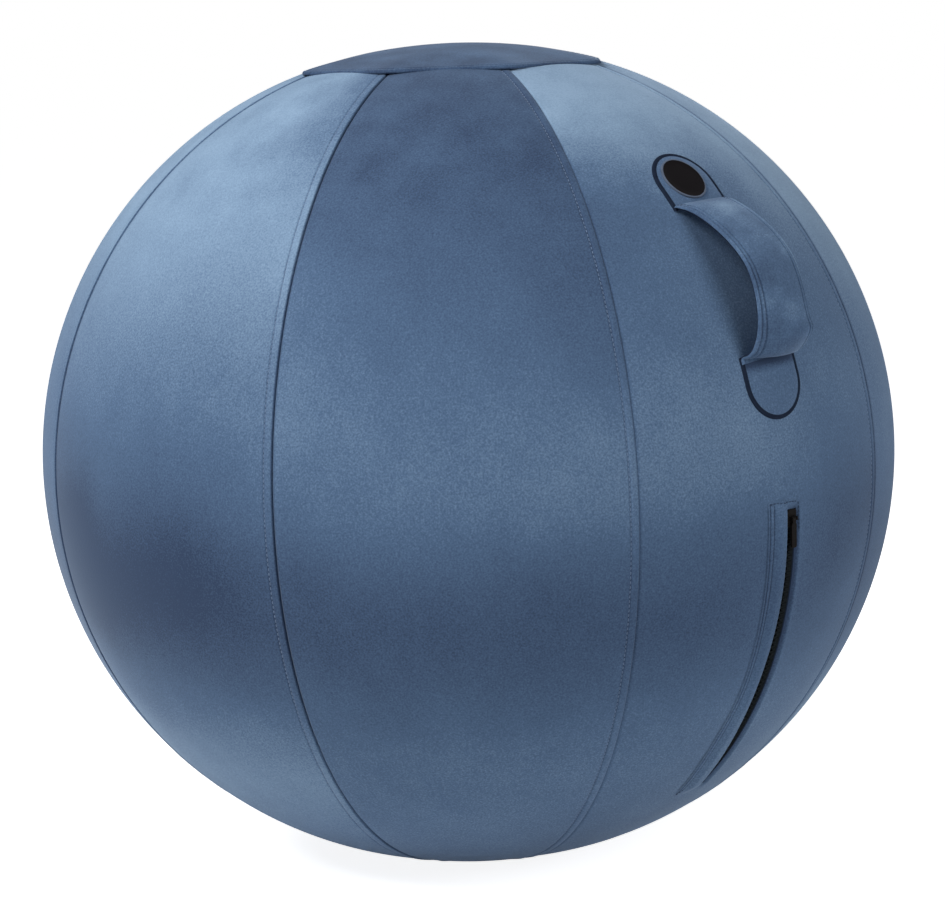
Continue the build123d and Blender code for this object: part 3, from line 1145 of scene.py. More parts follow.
@dataclass
class OctagonPanel:
    """An octagon of velvet with a rolled edge and a row of stitches inside it."""

    form: CoverForm
    palette: Palette
    node: str
    across: float
    corner: float
    crown: float
    fall: float
    rim_fall: float
    thickness: float
    nap_and_painted_light: float
    angles: int = 240
    under_rows: int = 5
    bend_rows: int = 9
    edge_rows: int = 16
    middle_rows: int = 22
    stitch_points: int = 960
    edge_zone: float = 11.0 * MM
    turned_under: float = 12.0 * MM
    dome_share: float = 0.5
    marked: float = 0.5
    groove_inset: float = 2.6 * MM
    groove_depth: float = 0.6 * MM
    groove_half_width: float = 1.1 * MM
    groove_layer: float = 0.9

    def outline(self, angle: Array) -> Array:
        """The octagon's radius: the softened least of its two nearest edges, so that corners are round.

        Args:
            angle: Angles round the axis.

        Returns:
            The radii.
        """
        half = self.form.half_gore
        flat = self.across / 2 * cos(half)
        near = np.mod(angle + pi / 2 + half, 2.0 * half) - half
        sharpness = log(2.0) / (self.corner * (1.0 / cos(half) - 1.0))
        edges = [flat / np.cos(near - turn) for turn in (-2.0 * half, 0.0, 2.0 * half)]
        return -np.log(sum(np.exp(-sharpness * (edge - flat)) for edge in edges)) / sharpness + flat

    def middle_height(self, radius: Array, outline: Array) -> Array:
        """The height of the cloth's middle layer: a shallow round dome that is eased to a level rim.

        Args:
            radius: Distances from the axis.
            outline: The rim's distance in the same directions.

        Returns:
            The heights.
        """
        dome = self.fall * (2.0 * radius / self.across) ** 2
        rim = self.fall * (2.0 * outline / self.across) ** 2
        levelled = (rim - self.rim_fall) * ease(radius / outline, self.dome_share, 1.0)
        return self.crown - self.thickness / 2 - dome + levelled

    def profile(self) -> tuple[Array, Array]:
        """The panel's section from underneath, round its edge and on to its top.

        Returns:
            Insets from the outline, and layers from -1 below to 1 above.
        """
        roll = self.thickness / 2
        bend = np.linspace(-pi / 2, pi / 2, self.bend_rows)
        under = np.linspace(self.turned_under, roll, self.under_rows)[:-1]
        top = np.linspace(roll, self.edge_zone, self.edge_rows)[1:]
        inset = np.concatenate([under, roll * (1.0 - np.cos(bend)), top])
        return inset, np.concatenate([np.full(len(under), -1.0), np.sin(bend), np.ones(len(top))])

    def surface(self) -> Surface:
        """The panel: its profile carried round the outline, closed at the middle of its top.

        Returns:
            Its surface, in place.
        """
        angle = np.linspace(0.0, 2.0 * pi, self.angles, endpoint=False)[None, :]
        outline = self.outline(angle)
        inset, layer = self.profile()
        inner = (outline - self.edge_zone) * np.linspace(1.0, 0.0, self.middle_rows + 1)[1:-1, None]
        radius = np.concatenate([outline - inset[:, None], inner])
        layer = np.concatenate([layer, np.ones(len(inner))])[:, None]
        groove = self.groove_depth * hump(outline - radius, self.groove_inset, self.groove_half_width)
        height = self.middle_height(radius, outline) + self.thickness / 2 * layer
        height = height - np.where(layer > self.groove_layer, groove, 0.0)
        points = np.stack([radius * np.cos(angle), radius * np.sin(angle), height], axis=-1)
        nap_and_painted_light = np.full(points.shape[:2], self.nap_and_painted_light)
        surface = Surface.of_grid(points, points[..., :2].copy(), nap_and_painted_light, loop=True)
        surface.close_last_row(self.angles)
        surface.marks = np.full(len(surface.points), self.marked)
        return surface

    def stitch_path(self) -> tuple[Array, Array]:
        """The groove inside the panel's edge.

        Returns:
            Its points and the normals there.
        """
        angle = np.linspace(0.0, 2.0 * pi, self.stitch_points)
        outline = self.outline(angle)
        radius = outline - self.groove_inset
        top = self.middle_height(radius, outline) + self.thickness / 2
        height = top - self.groove_depth + STITCH_LIFT
        path = np.stack([radius * np.cos(angle), radius * np.sin(angle), height], axis=-1)
        lean = 2.0 * self.rim_fall / radius
        return path, np.stack([lean * np.cos(angle), lean * np.sin(angle), np.ones_like(angle)], axis=-1)

    def build(self) -> None:
        """Makes the panel and its stitches."""
        piece = self.surface().to_object(f"{self.node}_velvet", [self.palette.velvet])
        dress(piece, (self.node,))
        stitching = Stitching()
        stitching.run(*self.stitch_path())
        dress(stitching.to_object(f"{self.node}_stitches", self.palette.thread))


@dataclass
class ZipFly:
    """The flap that laps over the zip from its left, with the stitches on it and round the zip's top.

    Distances across the leaning line are in metres, and places along it are latitudes in degrees.
    """

    form: CoverForm
    palette: Palette
    cover: Cover
    top: float = -1.7
    bottom: float = -50.2
    rows: int = 110
    free_edge: float = -8.7 * MM
    free_bow: float = 2.6 * MM
    free_bow_middle: float = -31.0
    free_bow_reach: float = 22.0
    sewn_line: float = -23.2 * MM
    sewn_bow: float = 3.0 * MM
    sewn_bow_middle: float = -39.0
    sewn_bow_reach: float = 13.0
    row_gap_top: float = 3.5 * MM
    row_gap_below: float = 2.5 * MM
    row_gap_end: float = -20.0
    height: float = 3.0 * MM
    groove_half_width: float = 0.75 * MM
    groove_depth: float = 0.6 * MM
    groove_shade: float = 0.36
    flap_nap: float = 0.04
    margin: float = 2.0 * MM
    margin_height: float = 0.9 * MM
    margin_edge_share: float = 0.4
    swell_width: float = 6.5 * MM
    clearance: float = 0.08 * MM
    hem_radius: float = 1.0 * MM
    hem_share: float = 0.45
    hem_columns: int = 9
    turned_in: Triple = (2.0 * MM, 5.0 * MM, 8.0 * MM)
    turned_in_shares: Triple = (0.8, 0.6, 0.5)
    columns: int = 40
    top_fade: float = 0.4
    bottom_fade: float = 3.0
    right_line: float = 5.8 * MM
    right_drift: float = 1.2 * MM
    right_end: float = -6.5
    box_top: float = -2.2
    box_points: int = 60
    row_points: int = 400
    row_end: float = 0.4
    cut_size: Pair = (0.033, 0.262)

    def sewn_edge(self, latitude: Array) -> Array:
        """The outer row of stitches, which bows to the left towards the bottom."""
        return self.sewn_line - self.sewn_bow * hump(latitude, self.sewn_bow_middle, self.sewn_bow_reach)

    def free_line(self, latitude: Array) -> Array:
        """The flap's free edge, which bows away from the zip at its middle."""
        return self.free_edge - self.free_bow * hump(latitude, self.free_bow_middle, self.free_bow_reach)

    def row_gap(self, latitude: Array) -> Array:
        """The distance between the two rows of stitches, which narrows from the top."""
        share = ease(latitude, self.row_gap_end, self.top)
        return self.row_gap_below + (self.row_gap_top - self.row_gap_below) * share

    def fullness(self, latitude: Array) -> Array:
        """How far the flap stands up.

        Args:
            latitude: Latitudes in degrees.

        Returns:
            0 at its two sewn ends, and 1 between them.
        """
        top = 1.0 - ease(latitude, self.top - self.top_fade, self.top)
        bottom = ease(latitude, self.bottom, self.bottom + self.bottom_fade)
        return top * bottom

    def grooves(self, across: Array, latitude: Array) -> Array:
        """The two stitched grooves.

        Args:
            across: Distances to the right of the leaning line.
            latitude: Latitudes in degrees.

        Returns:
            1 in the middle of either groove, and 0 outside both.
        """
        from_sewn = across - self.sewn_edge(latitude)
        inner = hump(from_sewn - self.row_gap(latitude), 0.0, self.groove_half_width)
        return np.maximum(hump(from_sewn, 0.0, self.groove_half_width), inner)

    def flap_height(self, across: Array, latitude: Array) -> Array:
        """The flap's upper face: a long swell from the sewn edge, with two stitched grooves.

        Args:
            across: Distances to the right of the leaning line.
            latitude: Latitudes in degrees.

        Returns:
            The heights above the cover.
        """
        from_sewn = across - self.sewn_edge(latitude)
        from_inner = from_sewn - self.row_gap(latitude)
        thick = ease(from_sewn, -self.margin, self.margin)
        lift = self.margin_height * (self.margin_edge_share + (1.0 - self.margin_edge_share) * thick)
        swell = (self.height - self.margin_height) * ease(from_inner, 0.0, self.swell_width)
        raised = lift + swell - self.groove_depth * self.grooves(across, latitude)
        return raised * self.fullness(latitude) + self.clearance

    def surface(self) -> Surface:
        """The flap: from a thin edge left of the stitches over its swell, round its free hem and under.

        Returns:
            Its surface, in place.
        """
        latitude = np.linspace(self.bottom, self.top, self.rows)[:, None]
        start = self.sewn_edge(latitude) - self.margin
        stop = self.free_line(latitude) - self.hem_radius
        across = start + (stop - start) * np.linspace(0.0, 1.0, self.columns)[None, :]
        top = self.flap_height(across, latitude)
        bend = np.linspace(pi / 2, -pi / 2, self.hem_columns)[None, 1:]
        crest = top[:, -1:]
        radius = np.minimum(self.hem_radius, self.hem_share * crest)
        hem_across = stop + self.hem_radius * np.cos(bend) + 0.0 * latitude
        hem_height = crest - radius + radius * np.sin(bend)
        under_across = stop - np.array(self.turned_in)[None, :] + 0.0 * latitude
        under_height = hem_height[:, -1:] * np.array(self.turned_in_shares)[None, :]
        across = np.concatenate([across, hem_across, under_across], axis=1)
        height = np.concatenate([top, hem_height, under_height], axis=1)
        points = self.form.line_point(latitude, across, height)
        uv = np.stack([across, np.radians(latitude) * self.form.gore_radius + 0.0 * across], axis=-1)
        level = self.form.gore_radius * np.sin(np.radians(latitude))
        # The flap takes the front gore's painted light and shade, with painted shade in its stitched grooves
        nap_and_painted_light = self.cover.nap_and_painted_light(Gore.FRONT, 0.0 * level, level) + self.flap_nap
        return Surface.of_grid(points, uv, nap_and_painted_light - self.groove_shade * self.grooves(across, latitude))

    def stitch_rows(self) -> list[tuple[Array, Array]]:
        """Two rows along the sewn edge, one over the zip's top and one down its right side.

        Returns:
            Each row's points and the normals there.
        """
        latitude = np.linspace(self.top, self.bottom + self.row_end, self.row_points)
        rows = []
        for place in (0.0, 1.0):
            across = self.sewn_edge(latitude) + place * self.row_gap(latitude) * self.fullness(latitude)
            rows.append((latitude, across, self.flap_height(across, latitude)))
        share = np.linspace(0.0, 1.0, self.box_points)
        corner = self.sewn_edge(np.array(self.top))
        over = corner + (self.right_line - corner) * share
        beside_top = self.top + (self.box_top - self.top) * share
        on_flap = over < self.free_line(beside_top)
        rows.append((beside_top, over, np.where(on_flap, self.flap_height(over, beside_top), 0.0)))
        down = np.linspace(self.box_top, self.right_end, self.box_points)
        rows.append((down, self.right_line + self.right_drift * share, 0.0 * down))
        paths = [self.form.line_point(*place, height + STITCH_LIFT) for *place, height in rows]
        return [(path, path - self.form.gore_centre) for path in paths]

    def build(self) -> None:
        """Makes the flap and its stitches."""
        piece = self.surface().to_object("zip_flap_velvet", [self.palette.velvet])
        dress(piece, ("zip_flap",))
        stitching = Stitching(pitch=3.0 * MM, length=2.2 * MM, radius=0.3 * MM)
        for path, normals in self.stitch_rows():
            stitching.run(path, normals)
        dress(stitching.to_object("zip_stitches", self.palette.dark_thread))


class RoundEnd(Enum):
    """Which end of a tab is round, as its direction up the cover."""

    ABOVE = 1
    BELOW = -1


@dataclass(frozen=True)
class Tab:
    """A sewn end of the strap: its round end's middle in degrees, and its straight sides' length."""

    node: str
    middle: float
    straight: float
    round_end: RoundEnd


@dataclass(frozen=True)
class BowEdge:
    """One edge of the bow about its fold: latitudes in degrees with heights in millimetres."""

    corner: Pair
    wall: Pair
    foot: Pair


@dataclass
class CarryStrap:
    """The padded strap: two sewn tabs with round ends, the bowed grip between them, and the badge.

    Sizes are in metres and places along the strap in degrees. The points that shape the bow, from its
    take-off to its fold, are latitudes in degrees with heights in millimetres.
    """

    form: CoverForm
    palette: Palette
    tab_width: float = 55.2 * MM
    tab_height: float = 1.5 * MM
    tab_roll: float = 0.9 * MM
    tab_tuck: float = 3.0 * MM
    tab_binding: float = 3.1 * MM
    tab_binding_drop: float = 0.3 * MM
    tab_bend_from: float = -0.2 * pi
    tab_bend_rows: int = 8
    tab_binding_rows: int = 4
    tab_top_rows: int = 12
    tab_inner_rows: int = 9
    tab_side_columns: int = 16
    tab_end_columns: int = 61
    upper_tab: Tab = Tab("strap_upper_tab", middle=42.8, straight=21.5 * MM, round_end=RoundEnd.ABOVE)
    lower_tab: Tab = Tab("strap_lower_tab", middle=13.95, straight=20.0 * MM, round_end=RoundEnd.BELOW)
    drift_per_degree: float = 0.16 * MM
    drift_zero: float = 26.8
    edge_zone: float = 8.5 * MM
    bow_width: float = 48.8 * MM
    bow_thickness: float = 4.0 * MM
    end_thickness: float = 2.4 * MM
    end_reach: float = 12.0 * MM
    bow_binding: float = 3.0 * MM
    bow_grooves: Pair = (2.3 * MM, 5.4 * MM)
    bow_groove_depth: float = 0.9 * MM
    groove_half_width: float = 0.9 * MM
    crown: float = 1.0 * MM
    fold_crown: float = 2.6 * MM
    take_off: Pair = (39.3, 1.3)
    lift: Pair = (38.7, 7.6)
    crest: Pair = (27.06, 31.5)
    crest_slack: Pair = (3.7, 3.2)
    approach: Pair = (20.8, 24.1)
    fold_slack: float = 0.4
    wall_slack: float = 4.0
    rise_rows: int = 30
    fall_rows: int = 24
    wall_rows: int = 16
    foot_rows: int = 14
    edge_columns: int = 20
    middle_columns: int = 8
    left_edge: BowEdge = BowEdge(corner=(19.5, 18.8), wall=(17.6, 6.0), foot=(16.7, 1.3))
    right_edge: BowEdge = BowEdge(corner=(19.3, 27.0), wall=(17.2, 9.4), foot=(17.2, 1.3))
    badge_middle: float = 43.3
    badge_side: float = 0.9 * MM
    badge_radius: float = 18.1 * MM
    badge_rim: float = 1.3 * MM
    badge_height: float = 1.4 * MM
    badge_sink: float = 0.3 * MM
    badge_columns: int = 120
    press_keep: float = 0.73
    tab_nap: float = -0.03
    fold_shade: float = 0.62
    fold_shade_reach: Pair = (-6.0 * MM, -15.0 * MM)
    bow_nap_base: float = -0.09
    bow_groove_shade: float = 0.25
    bow_marked: float = 0.75
    # Painted highlights on the bow's upper bend and along its right edge
    bend_highlight: float = 0.36
    bend_highlight_middle: float = 36.0
    bend_highlight_reach: float = 4.5
    edge_highlight: float = 0.5
    edge_highlight_from: float = 0.86

    BADGE_RIM_INSETS = np.array([1.0, 0.0, 0.0, 0.3, 1.0, 1.3])
    BADGE_FACE_INSETS = np.array([0.4, 0.8])
    BADGE_LEVELS = np.array([0.0, 0.0, 0.6, 1.0, 1.0, 0.8, 0.8, 0.8])
    BADGE_RIM_ROWS = 4

    @property
    def tabs(self) -> tuple[Tab, Tab]:
        """Both sewn ends."""
        return self.upper_tab, self.lower_tab

    def drift(self, latitude: Array) -> Array:
        """How far the strap strays to the right of the leaning line, which it crosses at a slant."""
        return self.drift_per_degree * (latitude - self.drift_zero)

    def outline(self, tab: Tab, inset: Array) -> tuple[Array, Array]:
        """A tab's outline drawn in by an inset: up the left side, round the end and down the right side.

        Args:
            tab: The tab.
            inset: Distances inside the edge, as a column.

        Returns:
            Distances across and along, as rows by columns.
        """
        radius = self.tab_width / 2 - inset
        up = np.linspace(-tab.straight, 0.0, self.tab_side_columns)[None, :-1]
        down = up[:, ::-1]
        angle = np.linspace(pi, 0.0, self.tab_end_columns)[None, :]
        across = np.concatenate([0.0 * up - radius, radius * np.cos(angle), 0.0 * down + radius], axis=1)
        along = np.concatenate([up + 0.0 * radius, radius * np.sin(angle), down + 0.0 * radius], axis=1)
        return across, along

    def tab_profile(self) -> tuple[Array, Array, Array]:
        """The tab's section from under its edge, up its side and over its top.

        Returns:
            Insets, heights, and whether each step belongs to the dark bound edge: partly a real binding and
            partly painted shadow round the tab.
        """
        bend = np.linspace(self.tab_bend_from, pi / 2, self.tab_bend_rows)
        side_inset = self.tab_roll * (1.0 - np.cos(bend))
        side_height = self.tab_roll * (np.sin(bend) - 1.0)
        bound_inset = np.linspace(self.tab_roll, self.tab_binding, self.tab_binding_rows)[1:]
        top_inset = np.linspace(self.tab_binding, self.edge_zone, self.tab_top_rows)[1:]
        inner = np.linspace(self.edge_zone, self.tab_width / 2, self.tab_inner_rows)[1:]
        inset = np.concatenate([[self.tab_tuck], side_inset, bound_inset, top_inset, inner])
        bound = len(bend) + len(bound_inset)
        drop = self.tab_binding_drop * (1.0 - ease(inset, self.tab_binding, 2.0 * self.tab_binding))
        height = self.tab_height - drop
        height[0] = 0.0
        height[1 : len(bend) + 1] += side_height
        return inset, height, np.arange(len(inset) - 1) < bound

    def tab_point(self, tab: Tab, across: Array, along: Array, height: Array) -> Array:
        """Places a tab's points on the cover.

        Args:
            tab: The tab.
            across: Distances across it.
            along: Distances from its round end's middle, towards that end.
            height: Heights above the cover.

        Returns:
            The points, with a last axis of 3.
        """
        up = tab.round_end.value
        latitude = tab.middle + up * self.form.degrees_of(along)
        return self.form.line_point(latitude, self.drift(latitude) + up * across, height)

    def tab_surface(self, tab: Tab) -> Surface:
        """A sewn tab, its profile carried round its outline.

        Args:
            tab: The tab.

        Returns:
            The surface, with its bound edge marked as trim: partly a real binding and partly painted shadow.
        """
        inset, height, bound = self.tab_profile()
        across, along = self.outline(tab, inset[:, None])
        points = self.tab_point(tab, across, along, height[:, None] + 0.0 * across)
        uv = np.stack([across, along], axis=-1)
        # Painted shadow on the lower tab, just below the bow's fold
        shade = self.fold_shade if tab.round_end is RoundEnd.BELOW else 0.0
        fold_shadow = shade * ease(along, *self.fold_shade_reach)
        surface = Surface.of_grid(points[::-1], uv[::-1], self.tab_nap - fold_shadow[::-1])
        surface.trim_faces = np.repeat(bound[::-1], across.shape[1] - 1)
        return surface

    def edge_path(self, edge: BowEdge) -> Array:
        """An edge of the bow seen from the side: up to its crest, down to its fold, and in to its foot.

        Args:
            edge: The edge's fold.

        Returns:
            Latitudes in degrees and heights, as an array of points by 2.
        """
        crest, corner, wall = (np.array(place) for place in (self.crest, edge.corner, edge.wall))
        before, after = (np.array([slack, 0.0]) for slack in self.crest_slack)
        turn = corner + self.fold_slack * (corner - np.array(self.approach))
        drop = np.array([0.0, self.wall_slack])
        landing = (edge.wall[0], edge.foot[1])
        pieces = [
            bezier([self.take_off, self.lift, crest + before, crest], self.rise_rows),
            bezier([crest, crest - after, self.approach, corner], self.fall_rows),
            bezier([corner, turn, wall + drop, wall], self.wall_rows),
            bezier([wall, wall - drop, landing, edge.foot], self.foot_rows),
        ]
        path = np.concatenate([pieces[0], *(piece[1:] for piece in pieces[1:])])
        return path * np.array([1.0, MM])

    def section(self) -> Array:
        """Places across the bow, close together by its edges.

        Returns:
            Places from -1 at its left edge to 1 at its right.
        """
        half = self.bow_width / 2
        edge = np.linspace(0.0, self.edge_zone, self.edge_columns)
        inset = np.concatenate([edge, np.linspace(self.edge_zone, half, self.middle_columns)[1:]])
        return np.concatenate([inset - half, (half - inset)[::-1][1:]]) / half

    def bow_layers(self) -> tuple[Array, Array, Array, Array]:
        """The bow as a grid: rows along it, columns across it.

        Its middle layer is ruled between the two edges' paths. Both faces stand off that layer by half
        the thickness, which thins towards the sewn ends; they meet in round edges, and the upper face
        has the stitched grooves. The whole section is arched, most of all at the fold.

        Returns:
            Latitudes and heights of the upper face, then those of the lower face.
        """
        share = self.section()
        left, right = self.edge_path(self.left_edge), self.edge_path(self.right_edge)
        mix = (1.0 + share[None, :, None]) / 2
        middle = left[:, None] * (1.0 - mix) + right[:, None] * mix
        arc = np.radians(middle[..., 0]) * self.form.gore_radius
        tangent = np.stack([np.gradient(arc, axis=0), np.gradient(middle[..., 1], axis=0)], axis=-1)
        tangent /= np.linalg.norm(tangent, axis=-1, keepdims=True)
        from_edge = self.bow_width / 2 * (1.0 - np.abs(share))
        rounded = np.sqrt(1.0 - np.clip(1.0 - 2.0 * from_edge / self.bow_thickness, 0.0, 1.0) ** 2)
        grown = ease(middle[..., 1], self.take_off[1] * MM, self.end_reach)
        half = (self.end_thickness + (self.bow_thickness - self.end_thickness) * grown) / 2 * rounded
        groove = sum(hump(from_edge, place, self.groove_half_width) for place in self.bow_grooves)
        folded = ease(middle[..., 0], self.crest[0], self.left_edge.corner[0])
        arched = (self.crown + self.fold_crown * folded) * (1.0 - share**2) * grown
        layers = []
        for offset in (arched + half - self.bow_groove_depth * groove * grown, arched - half):
            layers.append(self.form.degrees_of(arc + tangent[..., 1] * offset))
            layers.append(middle[..., 1] - tangent[..., 0] * offset)
        return tuple(layers)

    def bow_width_at(self, height: Array) -> Array:
        """The bow's width, which grows towards the tabs where it comes down to the cover."""
        raised = ease(height, self.take_off[1] * MM, self.end_reach)
        return self.tab_width - self.tab_roll + (self.bow_width - self.tab_width + self.tab_roll) * raised

    def bow_surface(self) -> Surface:
        """The bow: its upper and lower faces joined into one closed section along its length.

        Returns:
            The surface, with the bound edges of its underside marked as trim: partly a real binding and
            partly painted shadow along the bow's edges.
        """
        share = self.section()
        upper_latitude, upper_height, lower_latitude, lower_height = self.bow_layers()
        latitude = np.concatenate([upper_latitude, lower_latitude[:, ::-1][:, 1:-1]], axis=1)
        height = np.concatenate([upper_height, lower_height[:, ::-1][:, 1:-1]], axis=1)
        around = np.concatenate([share, share[::-1][1:-1]])[None, :]
        across = self.bow_width_at(upper_height[:, :1]) / 2 * around
        points = self.form.line_point(latitude, self.drift(latitude) + across, height)
        run = np.concatenate([[0.0], np.cumsum(np.linalg.norm(np.diff(points[:, 0], axis=0), axis=1))])
        uv = np.stack([across + 0.0 * height, run[:, None] + 0.0 * height], axis=-1)
        surface = Surface.of_grid(points, uv, self.bow_nap_and_painted_light(latitude, around), loop=True)
        from_edge = self.bow_width / 2 * (1.0 - np.abs(around[0]))
        # Dark edge finish under the bow's edges: partly a real binding, partly painted shadow
        under = (np.arange(len(from_edge)) >= len(share) - 1) & (from_edge < self.bow_binding)
        bound = under | (np.roll(under, -1) & (from_edge < self.bow_binding))
        surface.trim_faces = np.tile(bound, len(points) - 1)
        surface.marks = np.full(len(surface.points), self.bow_marked)
        return surface

    def bow_nap_and_painted_light(self, latitude: Array, around: Array) -> Array:
        """The bow's tone, with a painted highlight on the upper bend and along the right edge, and painted
        shade in the grooves.

        Args:
            latitude: Latitudes in degrees.
            around: Places from -1 at the left edge to 1 at the right.

        Returns:
            The nap values.
        """
        from_edge = self.bow_width / 2 * (1.0 - np.abs(around))
        grooves = sum(hump(from_edge, place, self.groove_half_width) for place in self.bow_grooves)
        bend = self.bend_highlight * hump(latitude, self.bend_highlight_middle, self.bend_highlight_reach) * (1.0 - around**2)
        crested = ease(latitude, self.approach[0], self.crest[0])
        edge = self.edge_highlight * ease(around, self.edge_highlight_from, 1.0) * crested
        return self.bow_nap_base + bend + edge - self.bow_groove_shade * grooves

    def badge_surface(self) -> Surface:
        """The bare round badge: a flat face inside a slim rim, carried round its middle.

        Returns:
            The surface, with its rim marked as trim.
        """
        face, rim = self.BADGE_FACE_INSETS * self.badge_radius, self.BADGE_RIM_INSETS * self.badge_rim
        radius = self.badge_radius - np.concatenate([rim, face])[:, None]
        angle = np.linspace(0.0, 2.0 * pi, self.badge_columns, endpoint=False)[None, :]
        across, along = radius * np.cos(angle), radius * np.sin(angle)
        raised = self.badge_height * self.BADGE_LEVELS[:, None]
        height = self.tab_height - self.badge_sink + raised + 0.0 * across
        latitude = self.badge_middle + self.form.degrees_of(along)
        points = self.form.line_point(latitude, self.badge_side + across, height)
        surface = Surface.of_grid(points, loop=True).close_last_row(self.badge_columns)
        surface.trim_faces = np.arange(len(surface.faces)) < self.BADGE_RIM_ROWS * self.badge_columns
        return surface

    def tab_stitches(self, stitching: Stitching) -> None:
        """Lays a close row of stitches along each tab's bound edge.

        Args:
            stitching: Where the stitches go.
        """
        inset = np.array([[(self.tab_roll + self.tab_binding) / 2]])
        for tab in self.tabs:
            across, along = (row[0] for row in self.outline(tab, inset))
            height = 0.0 * across + self.tab_height - self.tab_binding_drop
            path = self.tab_point(tab, across, along, height)
            stitching.run(path, path - self.form.gore_centre)

    def bow_stitches(self, stitching: Stitching, bow: Surface) -> None:
        """Lays both rows of stitches along each edge of the bow.

        Args:
            stitching: Where the stitches go.
            bow: The bow's surface.
        """
        share = self.section()
        grid = bow.points.reshape(-1, 2 * len(share) - 2, 3)[: -self.foot_rows]
        outward = grid[:, len(share) // 2] - grid[:, -(len(share) // 2)]
        for side in (-1.0, 1.0):
            for groove in self.bow_grooves:
                place = side * (1.0 - 2.0 * groove / self.bow_width)
                stitching.run(grid[:, int(np.argmin(np.abs(share - place)))], outward)

    def build(self) -> None:
        """Makes the tabs, the bow, the badge and the stitches, and gives the bow and its stitches meshes of
        their own.
        """
        velvet, edge, thread = self.palette.velvet, self.palette.edge, self.palette.dark_thread
        for tab in self.tabs:
            piece = self.tab_surface(tab).to_object(f"{tab.node}_padded", [velvet, edge])
            dress(piece, (tab.node,))
        sewn = Stitching(pitch=1.8 * MM, length=1.6 * MM, radius=0.3 * MM)
        self.tab_stitches(sewn)
        dress(sewn.to_object("strap_tab_stitches", edge))
        surface = self.bow_surface()
        bow = surface.to_object("strap_bow_padded", [velvet, edge])
        dress(bow, ("strap_upper_root", "strap_grip", "strap_lower_root"))
        free = Stitching(pitch=2.6 * MM, length=2.3 * MM, radius=0.36 * MM)
        self.bow_stitches(free, surface)
        bow_rows = dress(free.to_object("strap_bow_stitches", thread))
        middle = radians((self.take_off[0] + self.right_edge.foot[0]) / 2)
        outward = self.form.lean() @ np.array([0.0, -cos(middle), sin(middle)])
        anchor = self.form.line_point(self.take_off[0], 0.0, 0.0)
        for piece in (bow, bow_rows):
            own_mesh(piece)
        badge = self.badge_surface().to_object("badge_bare", [self.palette.badge, self.palette.rim])
        dress(badge, ("badge",))


@dataclass
class PackedPieces:
    """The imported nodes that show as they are: the zip's chain and metal, and the air bladder inside."""

    palette: Palette
    nodes: dict[str, bpy.types.Object]

    def build(self) -> None:
        """Gives each node its finish."""
        finishes = {
            "zip_side_left": self.palette.chain,
            "zip_side_right": self.palette.chain,
            "zip_top_stops": self.palette.metal,
            "zip_bottom_stop": self.palette.metal,
            "zip_slider": self.palette.metal,
            "zip_pull": self.palette.metal,
            "bladder": self.palette.vinyl,
            "valve_seat": self.palette.vinyl,
            "valve_plug": self.palette.plug,
        }
        for name, finish in finishes.items():
            mesh = self.nodes[name].data
            mesh.materials.clear()
            mesh.materials.append(finish)
            LOG.info("%s keeps its packed shape", name)


@dataclass
class Softbox:
    """A square studio light that faces the ball."""

    name: str
    right: float
    up: float
    towards: float
    size: float
    power: float


